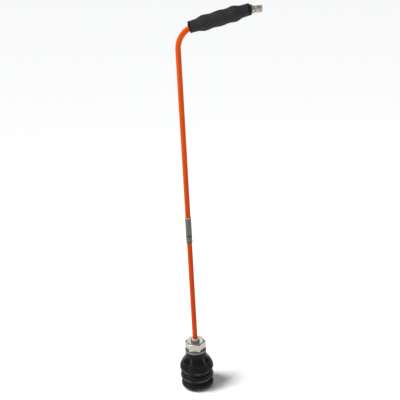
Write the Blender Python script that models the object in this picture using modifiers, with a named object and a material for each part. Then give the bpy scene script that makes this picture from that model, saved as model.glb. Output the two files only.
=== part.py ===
"""Pinpointer probe: a bent stem with a hand grip and a plug connector above, a fluted search head below.

The origin is the centre of the flat foot. +Z runs up the stem and +X points along the handle.
"""

import math

import bmesh
import bpy
from mathutils import Matrix, Vector

MM = 0.001
GAP = 0.3 * MM  # running and seating gap between neighbouring pieces
OVERRUN = 2.0 * MM  # how far a cutter runs past the wall that it opens
SEAT = 0.7 * MM  # depth of a small step or chamfer
SIDES = 32  # facets round a turned piece
SMALL_SIDES = 24  # facets round one that is thinner than the limit
SMALL_LIMIT = 12.0 * MM

# Stem
TUBE_RADIUS = 6.0 * MM
TUBE_WALL = 1.2 * MM
TUBE_SIDES_RESOLUTION = 4
AXES_HEIGHT = 873.0 * MM  # where the lines of the stem and of the handle cross
BEND_RADIUS = 50.0 * MM
HANDLE_RISE = math.radians(13.5)  # above the horizontal
BEND_STEPS = 14

# Joint between the two stem tubes
JOINT_HEIGHT = 429.0 * MM
SLEEVE_WALL = 0.75 * MM
SLEEVE_UP = 23.0 * MM  # sleeve above the joint
SLEEVE_DOWN = 22.0 * MM  # sleeve below the joint
COLLAR_LENGTH = 17.5 * MM
COLLAR_WALL = 0.9 * MM
SPIGOT_REACH = 36.0 * MM  # each way from the joint
SPIGOT_WALL = 1.5 * MM

# Hand grip, measured along the handle from the crossing of the axes
GRIP_START = 26.0 * MM
GRIP_LENGTH = 133.0 * MM
GRIP_NECK_RADIUS = 12.7 * MM
GRIP_SWELL = 4.3 * MM  # the first two swellings stand this far above the neck
GRIP_LAST_SWELL = 4.5 * MM
GRIP_WAIST = 2.9 * MM  # the two waists between the swellings
GRIP_EDGE = 3.0 * MM
GRIP_ROWS = 3  # rows of faces between two key sections

# End bush and connector, along the connector axis from the centre of its droop
BUSH_RADIUS = 9.0 * MM
BUSH_LENGTH = 13.0 * MM
STEM_END_INSIDE = 13.0 * MM  # the tube stops this far inside the grip's free end
DROOP = math.radians(11.0)
DROOP_BACK = 9.0 * MM  # the droop's centre lies this far inside the grip's free end
FLANGE_AT = 11.5 * MM
FLANGE_THICK = 3.0 * MM
FLANGE_RADIUS = 8.7 * MM
SHANK_RADIUS = 4.0 * MM
SHANK_LENGTH = 10.0 * MM
BARREL_RADIUS = 5.6 * MM
BARREL_LENGTH = 17.0 * MM
MOUTH_RADIUS = 4.5 * MM
MOUTH_DEPTH = 14.0 * MM
INSERT_LENGTH = 6.2 * MM
COUPLING_RADIUS = 7.6 * MM
COUPLING_LENGTH = 18.0 * MM
WINDOW_RADIUS = 1.6 * MM
WINDOW_TURN = math.radians(22.0)
WINDOW_SHARES = (0.17, 0.78)  # of the coupling sleeve's length
CONTACT_RADIUS = 0.45 * MM
CONTACT_CIRCLE = 1.5 * MM
CONTACT_COUNT = 3

# Head, heights above the foot
FOOT_LEDGE = 0.7 * MM  # the contact plate is this much wider than the cavity
FOOT_LIP = 2.8 * MM  # width of the plate's flange under the housing
FOOT_LIP_THICK = 2.4 * MM  # the foot ring's lip that carries it
PLATE_THICK = 5.5 * MM
RING_STEP = 0.6 * MM  # the foot ring's underside above the floor
FOOT_RING_TOP = 18.0 * MM
CLAMP_BOTTOM = 28.0 * MM
CLAMP_TOP = 42.0 * MM
CAP_EDGE = 50.0 * MM
FLUTE_BAND_TOP = 73.5 * MM
CAP_TOP = 99.0 * MM
CAVITY_RADIUS = 28.0 * MM
HOUSING_WALL = 4.7 * MM  # under the threads
CORE_STEP = 2.8 * MM  # the housing and the cap's skirt between the rings, out from the threads
FOOT_RING_PROUD = 4.1 * MM  # the three tiers stand this far out from the core
CLAMP_PROUD = 5.4 * MM
CAP_PROUD = 6.0 * MM
HOUSING_FLOOR = 3.0 * MM
NECK_WALL = 8.7 * MM  # the cap's neck round the bushing's shank
CAP_WALL = 4.0 * MM
NECK_THICK = 14.3 * MM  # depth of the cap's neck that the bushing passes
SEAL_THICK = 1.6 * MM
SEAL_INSET = 2.6 * MM  # the seal's centre line, out from the cavity

# Flutes of the three tiers
FLUTE_COUNT = 44
FLUTE_RADIUS = 1.7 * MM
FLUTE_DEPTH = 0.9 * MM

# Fittings on top of the head
WASHER_WIDTH = 9.3 * MM  # outwards from the bushing's shank
WASHER_THICK = 5.0 * MM
HEX_LEDGE = 5.3 * MM  # from the bushing's shank to a flat of its hexagon
HEX_THICK = 20.4 * MM
HEX_CHAMFER = 1.6 * MM
HEX_TURN = math.radians(-8.0)
NUT_TURN = math.radians(-4.0)
BUSHING_SHANK_RADIUS = 16.7 * MM
BUSHING_SHANK_LENGTH = 28.6 * MM
LOCK_NUT_WALL = 3.3 * MM
LOCK_NUT_THICK = 5.8 * MM
NUT_FLAT_WALL = 3.5 * MM  # from the tube to a flat of the compression nut
NUT_THICK = 8.7 * MM
NUT_SHANK_WALL = 1.7 * MM
NUT_SHANK_LENGTH = 8.2 * MM
OLIVE_LENGTH = 4.2 * MM
STEM_DEPTH = 33.0 * MM  # the tube goes this far into the hex bushing
CABLE_RADIUS = 2.2 * MM
GROMMET_RADIUS = 8.7 * MM
GROMMET_LENGTH = 6.7 * MM

# Search coil and electronics
BOBBIN_HEIGHT = 32.0 * MM
BOBBIN_FLANGE = 3.0 * MM
BOBBIN_CORE_RADIUS = 12.0 * MM
FERRITE_RADIUS = 7.7 * MM
WINDING_MARGIN = 2.5 * MM
SPACER_RADIUS = 2.8 * MM
SPACER_CIRCLE = 20.0 * MM
SPACER_HEIGHT = 18.0 * MM
SPACER_COUNT = 3
SCREW_RADIUS = 1.2 * MM
SCREW_HEAD_RADIUS = 2.4 * MM
SCREW_LENGTH = 9.0 * MM
BOARD_RADIUS = 24.0 * MM
BOARD_THICK = 1.6 * MM
CHIPS = (
    # centre x, centre y, length, width, height
    (-9.5 * MM, -1.5 * MM, 11.0 * MM, 9.0 * MM, 2.4 * MM),
    (9.5 * MM, -8.0 * MM, 8.0 * MM, 6.0 * MM, 3.2 * MM),
    (11.0 * MM, 7.0 * MM, 7.0 * MM, 9.0 * MM, 5.0 * MM),
    (-8.5 * MM, 9.5 * MM, 10.0 * MM, 6.0 * MM, 1.8 * MM),
)

# Sizes that follow from the ones above
BORE_RADIUS = TUBE_RADIUS - TUBE_WALL
SLIDE_RADIUS = TUBE_RADIUS + GAP
BEND_ANGLE = math.pi / 2 - HANDLE_RISE
BEND_TANGENT = BEND_RADIUS * math.tan(BEND_ANGLE / 2)
NUT_SHANK_RADIUS = SLIDE_RADIUS + NUT_SHANK_WALL
NUT_FLATS = 2 * (TUBE_RADIUS + NUT_FLAT_WALL)
HEX_FLATS = 2 * (BUSHING_SHANK_RADIUS + HEX_LEDGE)
LOCK_NUT_FLATS = 2 * (BUSHING_SHANK_RADIUS + LOCK_NUT_WALL)
WASHER_RADIUS = BUSHING_SHANK_RADIUS + WASHER_WIDTH
NECK_RADIUS = BUSHING_SHANK_RADIUS + NECK_WALL
FOOT_RADIUS = CAVITY_RADIUS + FOOT_LEDGE
SEAL_RADIUS = CAVITY_RADIUS + SEAL_INSET
THREAD_RADIUS = CAVITY_RADIUS + HOUSING_WALL
CORE_RADIUS = THREAD_RADIUS + CORE_STEP
FOOT_RING_RADIUS = CORE_RADIUS + FOOT_RING_PROUD
CLAMP_RADIUS = CORE_RADIUS + CLAMP_PROUD
HEAD_RADIUS = CORE_RADIUS + CAP_PROUD
GRIP_END = GRIP_START + GRIP_LENGTH
STEM_END = GRIP_END - STEM_END_INSIDE
DROOP_AT = GRIP_END - DROOP_BACK
HOUSING_BOTTOM = PLATE_THICK + GAP
HOUSING_SPLIT = (CLAMP_BOTTOM + CLAMP_TOP) / 2
COIL_BOTTOM = HOUSING_BOTTOM + HOUSING_FLOOR + GAP
COIL_TOP = COIL_BOTTOM + BOBBIN_HEIGHT
BOARD_BOTTOM = COIL_TOP + GAP + SPACER_HEIGHT + GAP
BOARD_TOP = BOARD_BOTTOM + BOARD_THICK
CAP_CEILING = CAP_TOP - NECK_THICK
WASHER_BOTTOM = CAP_TOP + GAP
HEX_BOTTOM = WASHER_BOTTOM + WASHER_THICK + GAP
HEX_TOP = HEX_BOTTOM + HEX_THICK
BUSHING_BOTTOM = HEX_BOTTOM - BUSHING_SHANK_LENGTH
STEM_BOTTOM = HEX_TOP - STEM_DEPTH
GROMMET_TOP = BUSHING_BOTTOM + GROMMET_LENGTH + GAP


def clear_scene():
    for obj in list(bpy.data.objects):
        bpy.data.objects.remove(obj, do_unlink=True)


def new_collection(name):
    collection = bpy.data.collections.new(name)
    bpy.context.scene.collection.children.link(collection)
    return collection


def make_material(name, colour, roughness, metallic=0.0):
    material = bpy.data.materials.new(name)
    material.use_nodes = True
    shader = material.node_tree.nodes["Principled BSDF"]
    shader.inputs["Base Color"].default_value = (*colour, 1.0)
    shader.inputs["Roughness"].default_value = roughness
    shader.inputs["Metallic"].default_value = metallic
    return material


clear_scene()
PARTS = new_collection("pinpointer_probe")
CUTTERS = new_collection("cutters")
ORANGE = make_material("orange_tube", (0.74, 0.11, 0.01), 0.32)
RUBBER = make_material("black_rubber", (0.018, 0.019, 0.021), 0.62)
BLACK = make_material("black_moulding", (0.022, 0.023, 0.025), 0.45)
GREY = make_material("grey_sleeve", (0.16, 0.165, 0.14), 0.5)
WASHER_GREY = make_material("washer_grey", (0.09, 0.085, 0.08), 0.5, 0.6)
NICKEL = make_material("nickel_plate", (0.62, 0.6, 0.56), 0.22, 1.0)
BRASS = make_material("brass", (0.62, 0.46, 0.2), 0.3, 1.0)
COPPER = make_material("copper_wire", (0.6, 0.25, 0.12), 0.4, 1.0)
FERRITE = make_material("ferrite", (0.05, 0.05, 0.055), 0.7)
CLEAR_GREY = make_material("natural_moulding", (0.5, 0.48, 0.42), 0.5)
BOARD_GREEN = make_material("board_green", (0.02, 0.16, 0.06), 0.45)
STEEL = make_material("zinc_steel", (0.5, 0.5, 0.5), 0.35, 1.0)


def link_object(name, mesh, material=None, parent=None):
    """Puts a mesh in the parts collection, or in the cutters when it has no material."""
    obj = bpy.data.objects.new(name, mesh)
    obj.parent = parent
    if material is None:
        obj.hide_render = True
        obj.display_type = "WIRE"
        CUTTERS.objects.link(obj)
    else:
        mesh.materials.append(material)
        PARTS.objects.link(obj)
    return obj


def shade(obj):
    obj.data.shade_smooth()
    obj.data.set_sharp_from_angle(angle=math.radians(35))


def turned(name, profile, material=None, parent=None, segments=None, closed=True):
    """Turns (radius, height) points about the local Z axis. The profile runs down its outer side."""
    if segments is None:
        segments = SMALL_SIDES if max(point[0] for point in profile) < SMALL_LIMIT else SIDES
    mesh = bpy.data.meshes.new(name)
    points = [(radius, 0.0, height) for radius, height in profile]
    edges = [(index, index + 1) for index in range(len(points) - 1)]
    if closed:
        edges.append((len(points) - 1, 0))
    mesh.from_pydata(points, edges, [])
    obj = link_object(name, mesh, material, parent)
    screw = obj.modifiers.new("turn", "SCREW")
    screw.steps = segments
    screw.render_steps = segments
    screw.use_merge_vertices = True
    screw.merge_threshold = 0.00001
    screw.use_smooth_shade = True
    return obj


def ring(name, inner, outer, low, high, material=None, parent=None, segments=None):
    profile = [(outer, high), (outer, low), (inner, low), (inner, high)]
    return turned(name, profile, material, parent, segments)


def plug(name, radius, low, high, material=None, parent=None, segments=None):
    profile = [(0.0, high), (radius, high), (radius, low), (0.0, low)]
    return turned(name, profile, material, parent, segments, closed=False)


def solids(name, matrices, add_shape, material=None, parent=None):
    """One mesh of separate bodies: add_shape(mesh, matrix) is called for each matrix."""
    mesh = bpy.data.meshes.new(name)
    bm = bmesh.new()
    for matrix in matrices:
        add_shape(bm, matrix)
    bm.to_mesh(mesh)
    bm.free()
    return link_object(name, mesh, material, parent)


def rod(radius, length, sides):
    """A function that adds an upright rod, centred on the matrix, to a bmesh."""

    def add_shape(bm, matrix):
        bmesh.ops.create_cone(
            bm, cap_ends=True, segments=sides, radius1=radius, radius2=radius, depth=length, matrix=matrix
        )

    return add_shape


def block(length, width, height):
    """A function that adds a box, centred on the matrix, to a bmesh."""

    def add_shape(bm, matrix):
        bmesh.ops.create_cube(bm, size=1.0, matrix=matrix @ Matrix.Diagonal((length, width, height, 1.0)))

    return add_shape


def around(count, radius, height, first=0.0):
    """Matrices on a circle about Z, each turned to face outwards."""
    place = Matrix.Translation((radius, 0.0, height))
    return [Matrix.Rotation(first + 2 * math.pi * step / count, 4, "Z") @ place for step in range(count)]


def boolean(obj, operation, other):
    modifier = obj.modifiers.new(operation.lower(), "BOOLEAN")
    modifier.operation = operation
    modifier.object = other
    modifier.solver = "EXACT"


def arc(centre, radius, start, end, steps):
    """Points on an arc in the (radius, height) plane, angles in degrees from the outward direction."""
    points = []
    for step in range(steps + 1):
        angle = math.radians(start + (end - start) * step / steps)
        points.append((centre[0] + radius * math.cos(angle), centre[1] + radius * math.sin(angle)))
    return points


def frame_at(name, location, tilt):
    """An empty whose local Z lies in the XZ plane, tilted from upright towards +X."""
    empty = bpy.data.objects.new(name, None)
    empty.location = location
    empty.rotation_euler = (0.0, tilt, 0.0)
    PARTS.objects.link(empty)
    return empty


def stem_point(along_handle):
    """A point on the handle's axis, measured from the crossing of the axes."""
    direction = Vector((math.cos(HANDLE_RISE), 0.0, math.sin(HANDLE_RISE)))
    return Vector((0.0, 0.0, AXES_HEIGHT)) + direction * along_handle


def stem_route(low, handle_end):
    """Centre line of the stem: straight up from low, round the bend and along the handle."""
    route = [Vector((0.0, 0.0, low))]
    centre = Vector((BEND_RADIUS, 0.0, AXES_HEIGHT - BEND_TANGENT))
    for step in range(BEND_STEPS + 1):
        angle = BEND_ANGLE * step / BEND_STEPS
        route.append(centre + BEND_RADIUS * Vector((-math.cos(angle), 0.0, math.sin(angle))))
    route.append(stem_point(handle_end))
    return route


def tube_curve(name, route, radius, resolution):
    curve = bpy.data.curves.new(name, "CURVE")
    curve.dimensions = "3D"
    curve.bevel_depth = radius
    curve.bevel_resolution = resolution
    curve.use_fill_caps = True
    spline = curve.splines.new("POLY")
    spline.points.add(len(route) - 1)
    for point, place in zip(spline.points, route):
        point.co = (*place, 1.0)
    obj = bpy.data.objects.new(name, curve)
    PARTS.objects.link(obj)
    return obj


def meshed(curve_obj, material=None):
    """Makes a curve a closed mesh object, with its caps welded."""
    bpy.context.view_layer.update()
    graph = bpy.context.evaluated_depsgraph_get()
    mesh = bpy.data.meshes.new_from_object(curve_obj.evaluated_get(graph))
    bm = bmesh.new()
    bm.from_mesh(mesh)
    bmesh.ops.remove_doubles(bm, verts=bm.verts, dist=0.00001)
    bmesh.ops.recalc_face_normals(bm, faces=bm.faces)
    bm.to_mesh(mesh)
    bm.free()
    name = curve_obj.name
    place = curve_obj.matrix_world.copy()
    bpy.data.objects.remove(curve_obj, do_unlink=True)
    mesh.materials.clear()
    obj = link_object(name, mesh, material)
    obj.matrix_world = place
    return obj


def hexagon(name, flats, low, high, turn, chamfer, material):
    """A hexagon head with its top corners chamfered, one flat facing -Y before it is turned."""
    corner = flats / 2 / math.cos(math.pi / 6)
    matrix = Matrix.Rotation(turn + math.pi / 6, 4, "Z") @ Matrix.Translation((0.0, 0.0, (low + high) / 2))
    head = solids(name, [matrix], rod(corner, high - low, 6), material)
    envelope = [
        (0.0, high + OVERRUN),
        (flats / 2 - OVERRUN * 1.6, high + OVERRUN),
        (corner, high - chamfer),
        (corner + OVERRUN, low - OVERRUN),
        (0.0, low - OVERRUN),
    ]
    boolean(head, "INTERSECT", turned(name + "_chamfer", envelope, segments=48, closed=False))
    return head


def flute(obj, low, high, phase=0.0):
    """Cuts flutes between two (radius, height) points of a tier's outer face."""
    lean = math.atan2(low[0] - high[0], high[1] - low[1])
    length = math.hypot(low[0] - high[0], high[1] - low[1])
    offset = FLUTE_RADIUS - FLUTE_DEPTH
    radius = (low[0] + high[0]) / 2 + offset * math.cos(lean)
    height = (low[1] + high[1]) / 2 + offset * math.sin(lean)
    tilt = Matrix.Rotation(-lean, 4, "Y")
    places = [matrix @ tilt for matrix in around(FLUTE_COUNT, radius, height, phase)]
    boolean(obj, "DIFFERENCE", solids(obj.name + "_flutes", places, rod(FLUTE_RADIUS, length, 6)))


def make_contact_plate():
    flange = FOOT_RADIUS + FOOT_LIP
    step = RING_STEP + FOOT_LIP_THICK
    profile = [
        (0.0, PLATE_THICK),
        (flange, PLATE_THICK),
        (flange, step),
        (FOOT_RADIUS, step),
        (FOOT_RADIUS, SEAT),
        (FOOT_RADIUS - SEAT, 0.0),
        (0.0, 0.0),
    ]
    turned("contact_plate", profile, BLACK, segments=44, closed=False)
    return flange, step


def make_foot_ring(flange, step):
    inner = FOOT_RADIUS + GAP
    pocket = flange + GAP
    thread = THREAD_RADIUS + GAP
    belly = arc((FOOT_RING_RADIUS - 8.0 * MM, 9.0 * MM), 8.0 * MM, 8.0, -80.0, 6)
    profile = [
        (CORE_RADIUS + 1.2 * MM, FOOT_RING_TOP),
        (FOOT_RING_RADIUS - 1.7 * MM, FOOT_RING_TOP - SEAT),
        *belly,
        (FOOT_RING_RADIUS - 8.0 * MM, RING_STEP),
        (inner, RING_STEP),
        (inner, step - GAP),
        (pocket, step - GAP),
        (pocket, HOUSING_BOTTOM),
        (thread, HOUSING_BOTTOM + GAP),
        (thread, FOOT_RING_TOP),
    ]
    foot_ring = turned("foot_ring", profile, BLACK, segments=FLUTE_COUNT)
    flute(foot_ring, (FOOT_RING_RADIUS, 9.5 * MM), (FOOT_RING_RADIUS - 2.2 * MM, FOOT_RING_TOP + GAP))


def make_sensor_housing():
    core_bottom = FOOT_RING_TOP + GAP
    profile = [
        (CAVITY_RADIUS, HOUSING_SPLIT),
        (SEAL_RADIUS - SEAL_THICK / 2 - GAP, HOUSING_SPLIT),
        (SEAL_RADIUS - SEAL_THICK / 2 - GAP, HOUSING_SPLIT - SEAL_THICK),
        (SEAL_RADIUS + SEAL_THICK / 2 + GAP, HOUSING_SPLIT - SEAL_THICK),
        (SEAL_RADIUS + SEAL_THICK / 2 + GAP, HOUSING_SPLIT),
        (THREAD_RADIUS, HOUSING_SPLIT),
        (THREAD_RADIUS, CLAMP_BOTTOM - GAP),
        (CORE_RADIUS, CLAMP_BOTTOM - GAP),
        (CORE_RADIUS, core_bottom),
        (THREAD_RADIUS, core_bottom),
        (THREAD_RADIUS, HOUSING_BOTTOM + 2 * GAP),
        (FOOT_RADIUS, HOUSING_BOTTOM + 2 * GAP),
        (0.0, HOUSING_BOTTOM + 2 * GAP),
        (0.0, HOUSING_BOTTOM + HOUSING_FLOOR),
        (CAVITY_RADIUS, HOUSING_BOTTOM + HOUSING_FLOOR),
    ]
    turned("sensor_housing", profile, BLACK, segments=44)


def make_housing_seal():
    inner = SEAL_RADIUS - SEAL_THICK / 2
    outer = SEAL_RADIUS + SEAL_THICK / 2
    ring("housing_seal", inner, outer, HOUSING_SPLIT - SEAL_THICK + GAP, HOUSING_SPLIT, RUBBER)


def make_clamp_ring():
    thread = THREAD_RADIUS + GAP
    profile = [
        (CORE_RADIUS + 1.5 * MM, CLAMP_TOP),
        (CLAMP_RADIUS - 2.9 * MM, CLAMP_TOP - SEAT),
        *arc((CLAMP_RADIUS - 2.0 * MM, CLAMP_BOTTOM + 3.2 * MM), 2.0 * MM, 15.0, -70.0, 4),
        (CLAMP_RADIUS - 3.4 * MM, CLAMP_BOTTOM),
        (thread, CLAMP_BOTTOM),
        (thread, CLAMP_TOP),
    ]
    clamp_ring = turned("clamp_ring", profile, BLACK, segments=FLUTE_COUNT)
    low = (CLAMP_RADIUS, CLAMP_BOTTOM + 3.6 * MM)
    flute(clamp_ring, low, (CLAMP_RADIUS - 3.0 * MM, CLAMP_TOP + GAP), math.pi / FLUTE_COUNT)


def make_head_cap():
    shoulder = FLUTE_BAND_TOP + 10.5 * MM
    profile = [
        (NECK_RADIUS, CAP_TOP),
        (NECK_RADIUS, shoulder + 8.0 * MM),
        (NECK_RADIUS + 0.6 * MM, shoulder + 4.0 * MM),
        (NECK_RADIUS + 2.0 * MM, shoulder),
        (NECK_RADIUS + 4.0 * MM, shoulder - 4.0 * MM),
        (HEAD_RADIUS - 9.3 * MM, FLUTE_BAND_TOP + 2.7 * MM),
        (HEAD_RADIUS - 7.2 * MM, FLUTE_BAND_TOP),
        (HEAD_RADIUS - 4.3 * MM, FLUTE_BAND_TOP - 5.5 * MM),
        (HEAD_RADIUS - 2.3 * MM, FLUTE_BAND_TOP - 9.7 * MM),
        (HEAD_RADIUS - 0.8 * MM, FLUTE_BAND_TOP - 13.7 * MM),
        (HEAD_RADIUS - 0.3 * MM, FLUTE_BAND_TOP - 17.0 * MM),
        *arc((HEAD_RADIUS - 1.8 * MM, CAP_EDGE + 3.4 * MM), 1.8 * MM, 10.0, -75.0, 4),
        (CORE_RADIUS + 2.6 * MM, CAP_EDGE),
        (CORE_RADIUS + 0.5 * MM, CAP_EDGE + SEAT),
        (CORE_RADIUS + 0.5 * MM, CLAMP_TOP + GAP),
        (THREAD_RADIUS, CLAMP_TOP + GAP),
        (THREAD_RADIUS, HOUSING_SPLIT + GAP),
        (CAVITY_RADIUS, HOUSING_SPLIT + GAP),
        (CAVITY_RADIUS, CAP_EDGE - 3.0 * MM),
        (HEAD_RADIUS - CAP_WALL - 1.6 * MM, CAP_EDGE + 4.5 * MM),
        (HEAD_RADIUS - CAP_WALL - 1.0 * MM, FLUTE_BAND_TOP - 13.7 * MM),
        (HEAD_RADIUS - CAP_WALL - 4.6 * MM, FLUTE_BAND_TOP - 5.5 * MM),
        (NECK_RADIUS, FLUTE_BAND_TOP + 4.0 * MM),
        (NECK_RADIUS - 0.9 * MM, CAP_CEILING),
        (BUSHING_SHANK_RADIUS + GAP, CAP_CEILING),
        (BUSHING_SHANK_RADIUS + GAP, CAP_TOP),
    ]
    head_cap = turned("head_cap", profile, BLACK, segments=FLUTE_COUNT)
    low = (HEAD_RADIUS, CAP_EDGE + 7.0 * MM)
    flute(head_cap, low, (HEAD_RADIUS - 6.6 * MM, FLUTE_BAND_TOP), 0.0)


def make_sealing_washer():
    inner = BUSHING_SHANK_RADIUS + GAP
    high = WASHER_BOTTOM + WASHER_THICK
    profile = [
        (inner, high),
        (WASHER_RADIUS - SEAT, high),
        (WASHER_RADIUS, high - SEAT),
        (WASHER_RADIUS, WASHER_BOTTOM + SEAT),
        (WASHER_RADIUS - SEAT, WASHER_BOTTOM),
        (inner, WASHER_BOTTOM),
    ]
    turned("sealing_washer", profile, WASHER_GREY, segments=44)


def make_hex_bushing():
    bushing = hexagon("hex_bushing", HEX_FLATS, HEX_BOTTOM, HEX_TOP, HEX_TURN, HEX_CHAMFER, NICKEL)
    shank = plug("bushing_shank", BUSHING_SHANK_RADIUS, BUSHING_BOTTOM, HEX_BOTTOM + OVERRUN)
    boolean(bushing, "UNION", shank)
    seat = HEX_TOP - NUT_SHANK_LENGTH - OLIVE_LENGTH - 3 * GAP
    profile = [
        (0.0, HEX_TOP + OVERRUN),
        (NUT_SHANK_RADIUS + GAP, HEX_TOP + OVERRUN),
        (NUT_SHANK_RADIUS + GAP, seat),
        (SLIDE_RADIUS, seat),
        (SLIDE_RADIUS, STEM_BOTTOM - GAP),
        (BORE_RADIUS, STEM_BOTTOM - GAP),
        (BORE_RADIUS, GROMMET_TOP),
        (GROMMET_RADIUS + GAP, GROMMET_TOP),
        (GROMMET_RADIUS + GAP, BUSHING_BOTTOM - OVERRUN),
        (0.0, BUSHING_BOTTOM - OVERRUN),
    ]
    boolean(bushing, "DIFFERENCE", turned("bushing_bore", profile, closed=False))


def make_lock_nut():
    high = CAP_CEILING - GAP
    low = high - LOCK_NUT_THICK
    nut = hexagon("lock_nut", LOCK_NUT_FLATS, low, high, 0.0, SEAT, BRASS)
    bore = plug("lock_nut_bore", BUSHING_SHANK_RADIUS + GAP, low - OVERRUN, high + OVERRUN)
    boolean(nut, "DIFFERENCE", bore)


def make_compression_nut():
    low = HEX_TOP + GAP
    high = low + NUT_THICK
    nut = hexagon("compression_nut", NUT_FLATS, low, high, NUT_TURN, SEAT, NICKEL)
    boolean(nut, "UNION", plug("nut_shank", NUT_SHANK_RADIUS, HEX_TOP - NUT_SHANK_LENGTH, low + OVERRUN))
    bore = plug("nut_bore", SLIDE_RADIUS, HEX_TOP - NUT_SHANK_LENGTH - OVERRUN, high + OVERRUN)
    boolean(nut, "DIFFERENCE", bore)


def make_compression_olive():
    high = HEX_TOP - NUT_SHANK_LENGTH - GAP
    low = high - OLIVE_LENGTH
    profile = [
        (SLIDE_RADIUS, high),
        (SLIDE_RADIUS + SEAT, high),
        (NUT_SHANK_RADIUS, (low + high) / 2),
        (SLIDE_RADIUS + SEAT, low),
        (SLIDE_RADIUS, low),
    ]
    turned("compression_olive", profile, BRASS)


def make_cable_grommet():
    low = BUSHING_BOTTOM
    ring("cable_grommet", CABLE_RADIUS + GAP, GROMMET_RADIUS, low, low + GROMMET_LENGTH, RUBBER)


def make_coil():
    bore = FERRITE_RADIUS + GAP
    flange = CAVITY_RADIUS - GAP
    profile = [
        (flange, COIL_TOP),
        (flange, COIL_TOP - BOBBIN_FLANGE),
        (BOBBIN_CORE_RADIUS, COIL_TOP - BOBBIN_FLANGE),
        (BOBBIN_CORE_RADIUS, COIL_BOTTOM + BOBBIN_FLANGE),
        (flange, COIL_BOTTOM + BOBBIN_FLANGE),
        (flange, COIL_BOTTOM),
        (bore, COIL_BOTTOM),
        (bore, COIL_TOP),
    ]
    turned("coil_bobbin", profile, CLEAR_GREY)
    low = COIL_BOTTOM + BOBBIN_FLANGE + GAP
    high = COIL_TOP - BOBBIN_FLANGE - GAP
    ring("coil_winding", BOBBIN_CORE_RADIUS + GAP, flange - WINDING_MARGIN, low, high, COPPER)
    plug("ferrite_core", FERRITE_RADIUS, COIL_BOTTOM, COIL_TOP, FERRITE)


def make_circuit_board():
    spacer_middle = COIL_TOP + GAP + SPACER_HEIGHT / 2
    head_low = BOARD_TOP + GAP
    first = math.pi / 2
    board = plug("circuit_board", BOARD_RADIUS, BOARD_BOTTOM, BOARD_TOP, BOARD_GREEN)
    holes = around(SPACER_COUNT, SPACER_CIRCLE, BOARD_BOTTOM, first)
    drills = solids("screw_holes", holes, rod(SCREW_RADIUS + GAP, 2 * SCREW_LENGTH, 12))
    boolean(board, "DIFFERENCE", drills)
    spacer_places = around(SPACER_COUNT, SPACER_CIRCLE, spacer_middle, first)
    head_places = around(SPACER_COUNT, SPACER_CIRCLE, head_low + SEAT, first)
    shank_places = around(SPACER_COUNT, SPACER_CIRCLE, head_low + SEAT - SCREW_LENGTH / 2, first)
    for index in range(SPACER_COUNT):
        number = index + 1
        pillar = rod(SPACER_RADIUS, SPACER_HEIGHT, 16)
        spacer = solids(f"board_spacer_{number}", [spacer_places[index]], pillar, BRASS)
        boolean(spacer, "DIFFERENCE", drills)
        head = rod(SCREW_HEAD_RADIUS, 2 * SEAT, 12)
        screw = solids(f"board_screw_{number}", [head_places[index]], head, STEEL)
        shank = solids(f"screw_shank_{number}", [shank_places[index]], rod(SCREW_RADIUS, SCREW_LENGTH, 12))
        boolean(screw, "UNION", shank)
    for number, (x, y, length, width, height) in enumerate(CHIPS, 1):
        place = Matrix.Translation((x, y, BOARD_TOP + GAP + height / 2))
        solids(f"board_chip_{number}", [place], block(length, width, height), FERRITE)


def make_stems():
    ring("lower_stem", BORE_RADIUS, TUBE_RADIUS, STEM_BOTTOM, JOINT_HEIGHT - GAP / 2, ORANGE)
    route = stem_route(JOINT_HEIGHT + GAP / 2, STEM_END)
    upper = meshed(tube_curve("upper_stem", route, TUBE_RADIUS, TUBE_SIDES_RESOLUTION), ORANGE)
    bore_route = stem_route(JOINT_HEIGHT - OVERRUN, STEM_END + OVERRUN)
    bore = meshed(tube_curve("upper_stem_bore", bore_route, BORE_RADIUS, TUBE_SIDES_RESOLUTION))
    boolean(upper, "DIFFERENCE", bore)
    shade(upper)


def make_stem_joint():
    low = JOINT_HEIGHT - SPIGOT_REACH
    high = JOINT_HEIGHT + SPIGOT_REACH
    outer = BORE_RADIUS - GAP
    ring("joint_spigot", outer - SPIGOT_WALL, outer, low, high, STEEL)
    sleeve_radius = SLIDE_RADIUS + SLEEVE_WALL
    sleeve_low = JOINT_HEIGHT - SLEEVE_DOWN
    sleeve_high = JOINT_HEIGHT + SLEEVE_UP
    profile = [
        (SLIDE_RADIUS, sleeve_high),
        (sleeve_radius - SLEEVE_WALL / 2, sleeve_high),
        (sleeve_radius, sleeve_high - SEAT),
        (sleeve_radius, sleeve_low),
        (SLIDE_RADIUS, sleeve_low),
    ]
    turned("joint_sleeve", profile, GREY)
    collar_high = sleeve_low - GAP
    collar_low = collar_high - COLLAR_LENGTH
    collar_radius = SLIDE_RADIUS + COLLAR_WALL
    profile = [
        (SLIDE_RADIUS, collar_high),
        (collar_radius - COLLAR_WALL / 2, collar_high),
        (collar_radius, collar_high - SEAT),
        (collar_radius, collar_low + SEAT),
        (collar_radius - COLLAR_WALL / 2, collar_low),
        (SLIDE_RADIUS, collar_low),
    ]
    turned("joint_collar", profile, GREY)


def grip_radius(share):
    """Radius of the grip at a share of its length: necks at the ends, three swellings, two waists."""
    keys = (
        (0.0, 0.0),
        (0.11, 0.1 * GRIP_SWELL),
        (0.25, GRIP_SWELL),
        (0.375, GRIP_WAIST),
        (0.5, GRIP_SWELL),
        (0.625, GRIP_WAIST),
        (0.73, GRIP_LAST_SWELL),
        (0.87, 0.1 * GRIP_LAST_SWELL),
        (1.0, 0.0),
    )
    for (start, low), (end, high) in zip(keys, keys[1:]):
        if share <= end:
            ease = (1 - math.cos(math.pi * (share - start) / (end - start))) / 2
            return GRIP_NECK_RADIUS + low + (high - low) * ease
    return GRIP_NECK_RADIUS


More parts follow.
